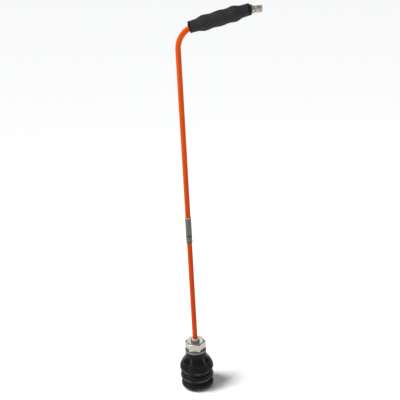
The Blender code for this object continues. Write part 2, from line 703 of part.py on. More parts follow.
def make_hand_grip(handle):
    rows = 8 * GRIP_ROWS
    start = GRIP_START + SEAT
    end = GRIP_END - GRIP_EDGE
    skin = []
    for row in range(rows + 1):
        along = end + (start - end) * row / rows
        skin.append((grip_radius((along - GRIP_START) / GRIP_LENGTH), along))
    rounded = arc((GRIP_NECK_RADIUS - GRIP_EDGE, end), GRIP_EDGE, 90.0, 20.0, 4)
    profile = [
        (0.0, GRIP_END),
        *rounded,
        *skin,
        (GRIP_NECK_RADIUS - SEAT, GRIP_START),
        (0.0, GRIP_START),
    ]
    grip = turned("hand_grip", profile, RUBBER, handle, segments=28, closed=False)
    route = stem_route(JOINT_HEIGHT, STEM_END + OVERRUN)
    boolean(grip, "DIFFERENCE", meshed(tube_curve("grip_bore", route, SLIDE_RADIUS, TUBE_SIDES_RESOLUTION)))
    pocket = plug("grip_pocket", BUSH_RADIUS + GAP, STEM_END, GRIP_END + OVERRUN, parent=handle)
    boolean(grip, "DIFFERENCE", pocket)


def make_end_bush(handle, droop):
    low = STEM_END + GAP
    bush = plug("end_bush", BUSH_RADIUS, low, low + BUSH_LENGTH + OVERRUN, RUBBER, handle)
    face = FLANGE_AT - GAP
    side = 6 * BUSH_RADIUS
    place = Matrix.Translation((0.0, 0.0, face + side / 2))
    trim = solids("bush_trim", [place], block(side, side, side), parent=droop)
    boolean(bush, "DIFFERENCE", trim)
    bore = plug("bush_bore", SHANK_RADIUS + GAP, -DROOP_BACK, face + OVERRUN, parent=droop)
    boolean(bush, "DIFFERENCE", bore)


def make_connector(droop):
    flange_front = FLANGE_AT + FLANGE_THICK
    mouth = flange_front + BARREL_LENGTH
    mouth_floor = mouth - MOUTH_DEPTH
    rear = FLANGE_AT - SHANK_LENGTH
    rear_bore = CABLE_RADIUS + GAP
    profile = [
        (MOUTH_RADIUS, mouth),
        (BARREL_RADIUS, mouth),
        (BARREL_RADIUS, flange_front),
        (FLANGE_RADIUS - SEAT, flange_front),
        (FLANGE_RADIUS, flange_front - SEAT),
        (FLANGE_RADIUS, FLANGE_AT + SEAT),
        (FLANGE_RADIUS - SEAT, FLANGE_AT),
        (SHANK_RADIUS, FLANGE_AT),
        (SHANK_RADIUS, rear),
        (rear_bore, rear),
        (rear_bore, mouth_floor),
        (MOUTH_RADIUS, mouth_floor),
    ]
    turned("connector_shell", profile, NICKEL, droop)

    insert_low = mouth_floor + GAP
    insert_high = insert_low + INSERT_LENGTH
    insert = plug("connector_insert", MOUTH_RADIUS - GAP, insert_low, insert_high, BLACK, droop)
    contact_low = insert_low - OVERRUN
    contact_length = insert_high - contact_low
    places = around(CONTACT_COUNT, CONTACT_CIRCLE, contact_low + contact_length / 2)
    holes = rod(CONTACT_RADIUS + GAP, contact_length + OVERRUN, 10)
    boolean(insert, "DIFFERENCE", solids("contact_holes", places, holes, parent=droop))
    for number, place in enumerate(places, 1):
        solids(f"contact_{number}", [place], rod(CONTACT_RADIUS, contact_length, 10), BRASS, droop)


def make_coupling_sleeve(droop):
    low = FLANGE_AT + FLANGE_THICK + GAP
    high = low + COUPLING_LENGTH
    inner = BARREL_RADIUS + GAP
    profile = [
        (inner, high),
        (COUPLING_RADIUS - SEAT, high),
        (COUPLING_RADIUS, high - SEAT),
        (COUPLING_RADIUS, low + SEAT),
        (COUPLING_RADIUS - SEAT, low),
        (inner, low),
    ]
    sleeve = turned("coupling_sleeve", profile, NICKEL, droop)
    across = Matrix.Rotation(WINDOW_TURN, 4, "Z") @ Matrix.Rotation(math.pi / 2, 4, "X")
    places = []
    for share in WINDOW_SHARES:
        places.append(Matrix.Translation((0.0, 0.0, low + share * COUPLING_LENGTH)) @ across)
    windows = solids("bayonet_windows", places, rod(WINDOW_RADIUS, 4 * COUPLING_RADIUS, 16), parent=droop)
    boolean(sleeve, "DIFFERENCE", windows)


def make_signal_cable():
    """Runs from just above the board, up the stem and along the handle, into the connector's shank."""
    route = stem_route(BOARD_TOP + GAP, DROOP_AT - 4.0 * MM)
    lean = HANDLE_RISE - DROOP
    inward = Vector((math.cos(lean), 0.0, math.sin(lean)))
    for share in (0.15, 0.45):
        route.append(stem_point(DROOP_AT) + inward * FLANGE_AT * share)
    cable = meshed(tube_curve("signal_cable", route, CABLE_RADIUS, 2), RUBBER)
    shade(cable)


def main():
    make_head_cap()
    flange, step = make_contact_plate()
    make_foot_ring(flange, step)
    make_sensor_housing()
    make_housing_seal()
    make_clamp_ring()
    make_sealing_washer()
    make_hex_bushing()
    make_lock_nut()
    make_compression_nut()
    make_compression_olive()
    make_cable_grommet()
    make_coil()
    make_circuit_board()
    make_stems()
    make_stem_joint()
    handle = frame_at("handle_axis", (0.0, 0.0, AXES_HEIGHT), BEND_ANGLE)
    droop = frame_at("connector_axis", stem_point(DROOP_AT), BEND_ANGLE + DROOP)
    make_hand_grip(handle)
    make_end_bush(handle, droop)
    make_connector(droop)
    make_coupling_sleeve(droop)
    make_signal_cable()


main()
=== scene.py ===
import math

import bmesh
import bpy
from mathutils import Matrix, Vector


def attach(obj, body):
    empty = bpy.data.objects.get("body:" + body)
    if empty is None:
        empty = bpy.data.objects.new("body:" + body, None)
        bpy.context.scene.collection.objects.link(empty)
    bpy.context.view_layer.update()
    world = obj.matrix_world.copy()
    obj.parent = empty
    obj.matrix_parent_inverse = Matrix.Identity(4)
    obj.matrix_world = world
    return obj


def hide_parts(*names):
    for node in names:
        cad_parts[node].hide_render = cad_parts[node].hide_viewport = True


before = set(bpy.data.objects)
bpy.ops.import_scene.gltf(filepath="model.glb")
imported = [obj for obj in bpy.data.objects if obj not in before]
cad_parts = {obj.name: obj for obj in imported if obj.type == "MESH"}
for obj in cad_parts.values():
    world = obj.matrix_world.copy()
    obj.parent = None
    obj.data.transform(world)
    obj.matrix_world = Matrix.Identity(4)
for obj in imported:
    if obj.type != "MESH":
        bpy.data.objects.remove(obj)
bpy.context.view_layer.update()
print("frame loaded with", len(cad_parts), "CAD pieces")

mm = 0.001
mergeWithin = 0.002 * mm  # points nearer than this are one point

# Camera and studio; lengths in mm unless a note says metres
studio = {
    "cameraPlace": (29.6, -1551.8, 1088.7),
    "cameraPitch": 21.0,  # degrees below the horizon
    "cameraRoll": -2.99,
    "lens": 65.81,
    "sensor": 36.0,
    "floorSize": 60.0,  # metres
    "floorDrop": 0.2,  # the floor lies just under the foot
    "floorTone": (0.96, 0.96, 0.96),
    "floorDriftTone": (0.94, 0.94, 0.943),
    "worldTone": (0.93, 0.96, 1.0),
    "worldStrength": 0.18,  # what lights and mirrors on the object
    "backdropTone": (1.0, 1.0, 1.0),
    "backdropStrength": 1.0,  # what shows behind the floor
    "sunFrom": (-1.0, -0.15, 1.5),
    "sunStrength": 3.35,
    "sunSpread": 24.0,  # degrees, for soft shadows
    "clipEnd": 200.0,  # metres
}

lights = {
    # place, what it points at, width and height in metres, then the power in watts
    "tallLeft": ((-1.6, -1.35, 0.8), (0.0, 0.0, 0.5), 0.2, 1.4, 17.0),
    "tallRight": ((1.8, -0.55, 0.5), (0.0, 0.0, 0.3), 0.25, 1.1, 11.0),
    "behind": ((-0.1, 1.7, 1.2), (0.0, 0.0, 0.1), 0.7, 0.45, 3.0),
}


def setCamera():
    pitch = math.radians(studio["cameraPitch"])
    roll = math.radians(studio["cameraRoll"])
    forward = Vector((0.0, math.cos(pitch), -math.sin(pitch)))
    up = Vector((0.0, math.sin(pitch), math.cos(pitch)))
    right = Vector((1.0, 0.0, 0.0))
    rolledRight = math.cos(roll) * right + math.sin(roll) * up
    rolledUp = -math.sin(roll) * right + math.cos(roll) * up
    cameraData = bpy.data.cameras.new("studioCamera")
    cameraData.lens = studio["lens"]
    cameraData.sensor_width = studio["sensor"]
    cameraData.clip_end = studio["clipEnd"]
    camera = bpy.data.objects.new("studioCamera", cameraData)
    bpy.context.scene.collection.objects.link(camera)
    camera.matrix_world = Matrix.Translation(Vector(studio["cameraPlace"]) * mm) @ Matrix(
        (rolledRight, rolledUp, -forward)
    ).transposed().to_4x4()
    bpy.context.scene.camera = camera


def addSun():
    sunData = bpy.data.lights.new("studioSun", "SUN")
    sunData.energy = studio["sunStrength"]
    sunData.angle = math.radians(studio["sunSpread"])
    sun = bpy.data.objects.new("studioSun", sunData)
    bpy.context.scene.collection.objects.link(sun)
    sun.rotation_euler = (-Vector(studio["sunFrom"])).to_track_quat("-Z", "Y").to_euler()


def addLight(name, place, target, width, height, power):
    lightData = bpy.data.lights.new(name, "AREA")
    lightData.shape = "RECTANGLE"
    lightData.size = width
    lightData.size_y = height
    lightData.energy = power
    light = bpy.data.objects.new(name, lightData)
    bpy.context.scene.collection.objects.link(light)
    light.location = place
    light.rotation_euler = (Vector(target) - Vector(place)).to_track_quat("-Z", "Y").to_euler()


class Wire:
    # a node's output, so that shader sums read as ordinary sums
    def __init__(self, tree, socket=None):
        self.tree = tree
        self.socket = socket

    def node(self, kind, settings=None, values=None, output=0):
        made = self.tree.nodes.new(kind)
        for name, value in (settings or {}).items():
            setattr(made, name, value)
        for name, value in (values or {}).items():
            if isinstance(value, Wire):
                self.tree.links.new(value.socket, made.inputs[name])
            else:
                made.inputs[name].default_value = value
        return Wire(self.tree, made.outputs[output])

    def maths(self, operation, *terms):
        return self.node("ShaderNodeMath", {"operation": operation}, dict(enumerate(terms)))

    def __add__(self, other):
        return self.maths("ADD", self, other)

    def __radd__(self, other):
        return self.maths("ADD", other, self)

    def __sub__(self, other):
        return self.maths("SUBTRACT", self, other)

    def __rsub__(self, other):
        return self.maths("SUBTRACT", other, self)

    def __mul__(self, other):
        return self.maths("MULTIPLY", self, other)

    def __rmul__(self, other):
        return self.maths("MULTIPLY", other, self)

    def step(self, low, high):
        # 0 below low, 1 above high, eased between them
        settings = {"interpolation_type": "SMOOTHSTEP"}
        return self.node("ShaderNodeMapRange", settings, {0: self, 1: low, 2: high})

    def part(self, number):
        # one of a vector's three numbers
        return self.node("ShaderNodeSeparateXYZ", {}, {0: self}, number)

    def blend(self, first, second):
        # two colours mixed by this wire; each is a wire or a tone
        ends = [end if isinstance(end, Wire) else opaque(end) for end in (first, second)]
        values = {0: self, 6: ends[0], 7: ends[1]}
        return self.node("ShaderNodeMix", {"data_type": "RGBA"}, values, 2)


def opaque(tone):
    return (*tone, 1.0)


def placeWire(wire, place=(0.0, 0.0, 0.0), turn=(0.0, 0.0, 0.0), scale=(1.0, 1.0, 1.0)):
    # object coordinates seen from a place and direction on the object, stretched by a scale
    coordinates = wire.node("ShaderNodeTexCoord", output=3)
    local = wire.node(
        "ShaderNodeMapping", {"vector_type": "TEXTURE"}, {0: coordinates, 1: place, 2: turn}
    )
    return wire.node("ShaderNodeMapping", {"vector_type": "POINT"}, {0: local, 3: scale})


def cloud(wire, vector, scale, detail=3.0, roughness=0.55):
    values = {0: vector, 2: scale, 3: detail, 4: roughness}
    return wire.node("ShaderNodeTexNoise", {"noise_dimensions": "3D"}, values)


def bumpFrom(wire, height, depth, strength):
    # the depth is in mm
    values = {"Height": height, "Distance": depth * mm, "Strength": strength}
    return wire.node("ShaderNodeBump", {}, values)


def layerWire(wire, name):
    # a number that a piece carries on its points
    return wire.node("ShaderNodeAttribute", {"attribute_name": name}, output=2)


def newMaterial(name, recipe, fixed=None):
    # recipe(wire) gives what changes over the surface; fixed holds the shader's plain numbers
    material = bpy.data.materials.new(name)
    material.use_nodes = True
    tree = material.node_tree
    shader = tree.nodes["Principled BSDF"]
    for socket, value in (fixed or {}).items():
        shader.inputs[socket].default_value = value
    for socket, value in recipe(Wire(tree)).items():
        tree.links.new(value.socket, shader.inputs[socket])
    return material


# Directions on the object: the handle rises from the level, the plug droops from the handle's line
axesHeight = 873.0  # where the lines of the stem and of the handle cross
handleRise = 13.5
droop = 11.0
droopAt = 150.0  # along the handle
handleStart = Vector((0.0, 0.0, axesHeight)) * mm
handleTurn = Matrix.Rotation(math.radians(90.0 - handleRise), 4, "Y")
handlePlace = Matrix.Translation(handleStart) @ handleTurn
plugTurn = Matrix.Rotation(math.radians(90.0 - handleRise + droop), 4, "Y")
plugStart = handlePlace @ Vector((0.0, 0.0, droopAt * mm))
plugPlace = Matrix.Translation(plugStart) @ plugTurn
upright = Matrix.Identity(4)


def axisWire(wire, place, scale=(1.0, 1.0, 1.0)):
    return placeWire(wire, place.to_translation(), place.to_euler(), scale)


# Finishes: their tones are linear red, green and blue, and a pair is mixed by a pattern
tones = {
    # painted light and shade: the stem's darker low tones and paler high tones are shaded and lit
    # copies of one orange
    "stemShadedLow": ((0.44, 0.036, 0.0003), (0.53, 0.052, 0.0006)),
    "stemLitHigh": ((0.56, 0.064, 0.0008), (0.66, 0.09, 0.002)),
    "stemScuff": (0.75, 0.26, 0.1),
    "stemSpeck": (0.42, 0.04, 0.004),
    "knurl": ((0.001, 0.001, 0.0013), (0.05, 0.051, 0.055)),  # painted shade in the hollows, then painted light on the peaks
    "gripDust": (0.09, 0.088, 0.085),
    "rubber": ((0.014, 0.0142, 0.0155), (0.034, 0.034, 0.036)),
    "head": ((0.0048, 0.005, 0.0056), (0.0076, 0.0078, 0.0086)),
    "headWearAndHighlight": (0.17, 0.167, 0.16),
    "headScuff": (0.06, 0.06, 0.06),
    "sleeve": ((0.083, 0.089, 0.07), (0.118, 0.124, 0.102)),
    "sleeveRimDark": (0.012, 0.011, 0.013),
    "sleeveLipHighlight": (0.68, 0.47, 0.4),
    "sleeveChip": (0.32, 0.3, 0.27),
    "washer": ((0.13, 0.127, 0.122), (0.24, 0.232, 0.22)),
    "washerStain": (0.17, 0.115, 0.085),
    "nickel": ((0.42, 0.407, 0.367), (0.54, 0.527, 0.482)),
    "plug": ((0.45, 0.38, 0.33), (0.6, 0.53, 0.45)),
    "brass": ((0.55, 0.38, 0.14), (0.7, 0.52, 0.24)),
    "copper": ((0.2, 0.055, 0.02), (0.62, 0.25, 0.11)),
    "varnish": (0.4, 0.13, 0.05),
    "ferrite": ((0.035, 0.035, 0.04), (0.08, 0.08, 0.086)),
    "ferriteChip": (0.12, 0.12, 0.125),
    "nylon": ((0.46, 0.43, 0.35), (0.6, 0.57, 0.5)),
    "board": ((0.012, 0.11, 0.04), (0.045, 0.24, 0.09)),
    "boardGlass": (0.06, 0.2, 0.1),
    "chip": ((0.018, 0.018, 0.02), (0.05, 0.05, 0.052)),
    "zinc": ((0.38, 0.39, 0.41), (0.62, 0.63, 0.64)),
}


def stemOrangeRecipe(wire):
    straight = wire.node("ShaderNodeAttribute", {"attribute_name": "straight"}, output=1)
    values = {0: straight, 3: (1.0, 1.0, 0.02)}
    along = wire.node("ShaderNodeMapping", {"vector_type": "POINT"}, values)
    fibres = cloud(wire, along, 900.0, 3.0)
    shade = cloud(wire, straight, 14.0, 2.0)
    specks = cloud(wire, straight, 1500.0, 1.0).step(0.7, 0.78)
    scuffs = cloud(wire, straight, 130.0, 5.0, 0.7).step(0.62, 0.74)
    streaks = (fibres * 0.45 + shade * 0.55).step(0.3, 0.7)
    litTowardsTop = placeWire(wire).part(2).step(0.25, 0.95)  # painted light: paler towards the top, where the stem is nearer the lamps
    shadedLow = streaks.blend(*tones["stemShadedLow"])
    litHigh = streaks.blend(*tones["stemLitHigh"])
    body = litTowardsTop.blend(shadedLow, litHigh)
    worn = (scuffs * 0.12).blend(body, tones["stemScuff"])
    colour = (specks * 0.3).blend(worn, tones["stemSpeck"])
    skin = cloud(wire, straight, 700.0, 2.0)
    return {
        "Base Color": colour,
        "Roughness": 0.24 + 0.1 * shade + 0.2 * scuffs,
        "Normal": bumpFrom(wire, skin * 0.6 + fibres * 0.4, 0.12, 0.35),
    }


def gripRubberRecipe(wire):
    raised = layerWire(wire, "raised")
    local = axisWire(wire, handlePlace)
    dust = cloud(wire, local, 160.0, 4.0)
    grain = cloud(wire, local, 2600.0, 2.0)
    # painted shade and light: each point is darker the deeper it lies in the knurl, paler on the
    # peaks
    knurlShadeAndLight = raised.step(0.15, 0.6).blend(*tones["knurl"])
    colour = (dust.step(0.52, 0.8) * 0.22).blend(knurlShadeAndLight, tones["gripDust"])
    return {
        "Base Color": colour,
        "Roughness": 0.62 - 0.14 * raised + 0.12 * dust,
        "Normal": bumpFrom(wire, grain, 0.06, 0.5),
    }


def rubberRecipe(wire):
    local = placeWire(wire)
    dust = cloud(wire, local, 220.0, 4.0)
    grain = cloud(wire, local, 2400.0, 2.0)
    colour = dust.step(0.35, 0.8).blend(*tones["rubber"])
    return {
        "Base Color": colour,
        "Roughness": 0.5 + 0.2 * dust,
        "Normal": bumpFrom(wire, grain, 0.05, 0.5),
    }


def headBlackRecipe(wire):
    local = placeWire(wire)
    grain = cloud(wire, local, 1700.0, 2.0)
    mottle = cloud(wire, local, 60.0, 4.0)
    scuffs = cloud(wire, placeWire(wire, scale=(1.0, 1.0, 3.0)), 260.0, 5.0, 0.72).step(0.6, 0.7)
    # painted highlight and wear: the worn bands brighten the tiers' lower rims
    wearAndHighlight = layerWire(wire, "edge") * mottle.step(0.35, 0.6)
    body = mottle.step(0.3, 0.7).blend(*tones["head"])
    worn = (0.6 * wearAndHighlight).blend(body, tones["headWearAndHighlight"])
    return {
        "Base Color": (0.22 * scuffs).blend(worn, tones["headScuff"]),
        "Roughness": 0.19 + 0.1 * mottle + 0.14 * scuffs,
        "Normal": bumpFrom(wire, grain, 0.05, 0.4),
    }


def sleeveGreyRecipe(wire):
    local = placeWire(wire)
    lines = cloud(wire, placeWire(wire, scale=(0.12, 0.12, 1.0)), 1600.0, 2.0)
    mottle = cloud(wire, local, 180.0, 4.0)
    chips = cloud(wire, local, 420.0, 3.0).step(0.66, 0.72)
    shade = (lines * 0.5 + mottle * 0.5).step(0.35, 0.65)
    body = shade.blend(*tones["sleeve"])
    # painted shade: the rims at the gap between sleeve and collar are painted dark; the collar's
    # lower rim is darker too
    rimDarkened = (layerWire(wire, "rimDarkening") * 0.92).blend(body, tones["sleeveRimDark"])
    # painted highlight: the rolled lip is painted bright
    bright = (layerWire(wire, "edge") * 0.9).blend(rimDarkened, tones["sleeveLipHighlight"])
    return {
        "Base Color": (chips * 0.4).blend(bright, tones["sleeveChip"]),
        "Roughness": 0.36 + 0.2 * mottle,
        "Normal": bumpFrom(wire, lines, 0.04, 0.5),
    }


def washerGreyRecipe(wire):
    local = placeWire(wire)
    crystals = cloud(wire, local, 900.0, 4.0, 0.7)
    stain = cloud(wire, local, 90.0, 3.0)
    body = crystals.step(0.3, 0.7).blend(*tones["washer"])
    return {
        "Base Color": (stain.step(0.5, 0.75) * 0.5).blend(body, tones["washerStain"]),
        "Roughness": 0.36 + 0.22 * crystals,
        "Normal": bumpFrom(wire, crystals, 0.08, 0.4),
    }


def shaded(tone, share):
    return tuple(share * value for value in tone)


def turnedMetalRecipe(place, pair, roughness, shadedFrom=None):
    # metal turned about an axis: lines run round it; past shadedFrom along the axis it is painted
    # dark, as shade inside a covering piece
    dark, light = pair

    def recipe(wire):
        local = axisWire(wire, place)
        depth = local.part(2)
        values = {0: local, 1: (1.0, 1.0, 0.0)}
        flat = wire.node("ShaderNodeVectorMath", {"operation": "MULTIPLY"}, values)
        radius = wire.node("ShaderNodeVectorMath", {"operation": "LENGTH"}, {0: flat}, 1)
        line = wire.node("ShaderNodeCombineXYZ", {}, {0: radius, 2: depth, 1: local.part(0) * 0.02})
        lines = cloud(wire, line, 900.0, 3.0, 0.6)
        stain = cloud(wire, local, 120.0, 4.0)
        scratches = cloud(wire, axisWire(wire, place, (1.0, 0.15, 1.0)), 700.0, 2.0).step(0.64, 0.7)
        body = (lines * 0.55 + stain * 0.45).step(0.32, 0.68).blend(dark, light)
        if shadedFrom:
            # painted shade: the metal inside another piece is painted near black
            past = depth.step(shadedFrom * mm, (shadedFrom + 0.2) * mm)
            body = past.blend(body, shaded(dark, 0.16))
        return {
            "Base Color": (scratches * 0.25).blend(body, shaded(dark, 0.5)),
            "Roughness": roughness + 0.12 * stain + 0.1 * lines,
            "Normal": bumpFrom(wire, lines, 0.03, 0.6),
        }

    return recipe


def woundCopperRecipe(wire):
    pitch = 0.5 * mm  # from one turn of wire to the next
    turns = wire.maths("SINE", placeWire(wire).part(2) * (2 * math.pi / pitch))
    shade = cloud(wire, placeWire(wire), 300.0, 3.0)
    # painted shade: the copper is darker in the grooves between turns, where the bump sinks
    colour = (0.5 + 0.5 * turns).blend(*tones["copper"])
    return {
        "Base Color": (shade * 0.4).blend(colour, tones["varnish"]),
        "Roughness": 0.3 + 0.15 * shade,
        "Normal": bumpFrom(wire, turns, 0.12, 0.8),
    }


def ferriteRecipe(wire):
    grains = cloud(wire, placeWire(wire), 1400.0, 4.0, 0.75)
    chips = cloud(wire, placeWire(wire), 300.0, 3.0).step(0.6, 0.7)
    colour = grains.step(0.3, 0.75).blend(*tones["ferrite"])
    return {
        "Base Color": (chips * 0.4).blend(colour, tones["ferriteChip"]),
        "Roughness": 0.6 + 0.25 * grains,
        "Normal": bumpFrom(wire, grains, 0.09, 0.7),
    }


def nylonRecipe(wire):
    flow = cloud(wire, placeWire(wire, scale=(1.0, 1.0, 0.25)), 120.0, 4.0)
    grain = cloud(wire, placeWire(wire), 1500.0, 2.0)
    return {
        "Base Color": flow.step(0.3, 0.7).blend(*tones["nylon"]),
        "Roughness": 0.42 + 0.15 * flow,
        "Normal": bumpFrom(wire, grain, 0.04, 0.5),
    }


def boardRecipe(wire):
    local = placeWire(wire)
    settings = {"feature": "DISTANCE_TO_EDGE", "distance": "EUCLIDEAN"}
    traces = wire.node("ShaderNodeTexVoronoi", settings, {0: local, 2: 420.0})
    track = 1.0 - traces.step(0.06, 0.1)
    glass = cloud(wire, placeWire(wire, scale=(1.0, 1.0, 0.1)), 1800.0, 2.0)
    resist = (track * 0.7).blend(*tones["board"])
    return {
        "Base Color": (glass.step(0.6, 0.8) * 0.3).blend(resist, tones["boardGlass"]),
        "Roughness": 0.32 + 0.2 * glass,
        "Normal": bumpFrom(wire, track, 0.04, 0.8),
    }


def chipRecipe(wire):
    grains = cloud(wire, placeWire(wire), 2600.0, 3.0, 0.7)
    smear = cloud(wire, placeWire(wire), 260.0, 3.0)
    shade = (0.5 * grains + 0.5 * smear).step(0.35, 0.7)
    return {
        "Base Color": shade.blend(*tones["chip"]),
        "Roughness": 0.5 + 0.25 * grains,
        "Normal": bumpFrom(wire, grains, 0.05, 0.6),
    }


def zincRecipe(wire):
    spangle = wire.node("ShaderNodeTexVoronoi", {}, {0: placeWire(wire), 2: 1400.0}, 1)
    shade = cloud(wire, placeWire(wire), 400.0, 3.0)
    crystal = spangle.part(0)
    mix = 0.5 * crystal + 0.5 * shade
    return {
        "Base Color": mix.blend(*tones["zinc"]),
        "Roughness": 0.28 + 0.2 * crystal,
        "Normal": bumpFrom(wire, shade, 0.03, 0.5),
    }


def floorRecipe(wire):
    drift = cloud(wire, placeWire(wire), 0.6, 3.0)
    return {
        "Base Color": drift.blend(studio["floorTone"], studio["floorDriftTone"]),
        "Roughness": 0.7 + 0.1 * drift,
    }


metal = {"Metallic": 1.0}
barrelShadedFrom = 14.5  # the plug's barrel is painted dark from its flange on, as shade inside the coupling sleeve
finishes = {
    "stemOrange": newMaterial("stemOrange", stemOrangeRecipe, {"Specular IOR Level": 0.07}),
    "gripRubber": newMaterial("knurledRubber", gripRubberRecipe, {"Specular IOR Level": 0.15}),
    "rubber": newMaterial("plainRubber", rubberRecipe),
    "headBlack": newMaterial("headBlack", headBlackRecipe, {"Specular IOR Level": 0.1}),
    "sleeveGrey": newMaterial(
        "sleeveGrey", sleeveGreyRecipe, {"Metallic": 0.2, "Specular IOR Level": 0.3}
    ),
    "washerGrey": newMaterial("phosphatedSteel", washerGreyRecipe, {"Metallic": 0.85}),
    "nickel": newMaterial("nickelPlate", turnedMetalRecipe(upright, tones["nickel"], 0.24), metal),
    "plugNickel": newMaterial(
        "plugNickel", turnedMetalRecipe(plugPlace, tones["plug"], 0.26), metal
    ),
    "plugCore": newMaterial(
        "plugCore", turnedMetalRecipe(plugPlace, tones["plug"], 0.34, barrelShadedFrom), metal
    ),
    "brass": newMaterial("brass", turnedMetalRecipe(upright, tones["brass"], 0.26), metal),
    "copperWire": newMaterial("woundCopper", woundCopperRecipe, metal),
    "ferrite": newMaterial("ferrite", ferriteRecipe),
    "naturalMoulding": newMaterial("undyedNylon", nylonRecipe),
    "boardGreen": newMaterial("boardGreen", boardRecipe, {"Coat Weight": 0.2}),
    "chipBlack": newMaterial("chipBlack", chipRecipe),
    "zincSteel": newMaterial("zincSteel", zincRecipe, metal),
    "floor": newMaterial("paleFloor", floorRecipe),
}
print("finishes made:", len(finishes))


# Making pieces
def finishPiece(bm, name, finish, body, nodes, smoothAngle=30.0):
    # turns a bmesh into a shown piece that stands for its CAD nodes and rides on their body
    bmesh.ops.remove_doubles(bm, verts=bm.verts, dist=mergeWithin)
    bmesh.ops.recalc_face_normals(bm, faces=bm.faces)
    mesh = bpy.data.meshes.new(name)
    bm.to_mesh(mesh)
    bm.free()
    mesh.shade_smooth()
    mesh.set_sharp_from_angle(angle=math.radians(smoothAngle))
    piece = bpy.data.objects.new(name, mesh)
    bpy.context.scene.collection.objects.link(piece)
    mesh.materials.append(finishes[finish])
    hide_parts(*nodes)
    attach(piece, body)
    return piece


def outlineOf(bm, outline):
    # a closed outline of (radius, height, rounding) corners in mm, its corners rounded
    corners = [bm.verts.new((radius * mm, 0.0, height * mm)) for radius, height, _ in outline]
    for first, second in zip(corners, corners[1:] + corners[:1]):
        bm.edges.new((first, second))
    sizes = sorted({rounding for _, _, rounding in outline if rounding})
    chosen = {size: [] for size in sizes}
    for corner, (_, _, rounding) in zip(corners, outline):
        if rounding:
            chosen[rounding].append(corner)
    for size in sizes:
        bmesh.ops.bevel(
            bm,
            geom=chosen[size],
            affect="VERTICES",
            offset=size * mm,
            segments=3 if size < 1.0 else 6,
            profile=0.5,
            material=-1,
        )


def splitLong(bm, longest):
    # edges longer than this many mm are divided, so that patterns can shape them
    for edge in list(bm.edges):
        cuts = int(edge.calc_length() / (longest * mm))
        if cuts:
            bmesh.ops.subdivide_edges(bm, edges=[edge], cuts=cuts)


def turnRound(bm, steps, sectors=12):
    # one sector is spun, then copied round: much quicker than one long spin
    bmesh.ops.spin(
        bm,
        geom=bm.verts[:] + bm.edges[:],
        cent=(0.0, 0.0, 0.0),
        axis=(0.0, 0.0, 1.0),
        angle=2 * math.pi / sectors,
        steps=steps // sectors,
    )
    bmesh.ops.spin(
        bm,
        geom=bm.verts[:] + bm.edges[:] + bm.faces[:],
        cent=(0.0, 0.0, 0.0),
        axis=(0.0, 0.0, 1.0),
        angle=2 * math.pi * (sectors - 1) / sectors,
        steps=sectors - 1,
        use_duplicate=True,
    )
    bmesh.ops.remove_doubles(bm, verts=bm.verts, dist=mergeWithin)
    bmesh.ops.recalc_face_normals(bm, faces=bm.faces)


def spun(outline, steps, longest=None, sectors=12):
    bm = bmesh.new()
    outlineOf(bm, outline)
    if longest:
        splitLong(bm, longest)
    turnRound(bm, steps, sectors)
    return bm


def markBands(bm, name, bands):
    # a number on each point for the materials: a band is (height, reach, strength, least radius)
    layer = bm.verts.layers.float.new(name)
    for vert in bm.verts:
        radius = math.hypot(vert.co.x, vert.co.y) / mm
        for middle, reach, strength, least in bands:
            nearness = 1.0 - abs(vert.co.z / mm - middle) / reach
            if nearness > 0.0 and radius > least:
                vert[layer] = min(1.0, max(vert[layer], strength * nearness))


# Stem: two glass-fibre tubes, the upper one bent over towards the handle
stem = {
    "radius": 6.0,
    "wall": 1.2,
    "sides": 72,
    "bottom": 92.0,
    "jointAt": 429.0,
    "gap": 0.3,
    "bendRadius": 50.0,
    "bendSteps": 48,
    "handleEnd": 146.0,
    "rowLength": 6.0,
}
bendAngle = math.radians(90.0 - handleRise)
bendTangent = stem["bendRadius"] * math.tan(bendAngle / 2)
bendHeight = axesHeight - bendTangent
bendCentre = Vector((stem["bendRadius"], 0.0, bendHeight)) * mm


def straightPlace(point):
    # where a point of the bent stem lies when the stem is drawn straight
    if point.z <= bendCentre.z and point.x < bendCentre.x:
        return Vector(point)
    arm = Vector((bendCentre.x - point.x, 0.0, point.z - bendCentre.z))
    angle = math.atan2(arm.z, arm.x)
    if angle <= bendAngle:
        height = bendCentre.z + angle * stem["bendRadius"] * mm
        return Vector((bendCentre.x - arm.length, point.y, height))
    local = handlePlace.inverted() @ point
    start = bendCentre.z + bendAngle * stem["bendRadius"] * mm
    return Vector((local.x, local.y, start + local.z - bendTangent * mm))


def rowsFor(length):
    return max(1, round(length / stem["rowLength"]))


def extendTube(bm, loop, shift, rows):
    # draws a ring of edges out into a tube and gives back its new end
    for row in range(rows):
        made = bmesh.ops.extrude_edge_only(bm, edges=loop)["geom"]
        verts = [item for item in made if isinstance(item, bmesh.types.BMVert)]
        loop = [item for item in made if isinstance(item, bmesh.types.BMEdge)]
        loop = [edge for edge in loop if edge.verts[0] in verts and edge.verts[1] in verts]
        bmesh.ops.translate(bm, verts=verts, vec=shift / rows)
    return loop


def tubeStart(bm, radius, height, sides):
    made = bmesh.ops.create_circle(bm, radius=radius * mm, segments=sides)["verts"]
    bmesh.ops.translate(bm, verts=made, vec=(0.0, 0.0, height * mm))
    return list({edge for vert in made for edge in vert.link_edges})


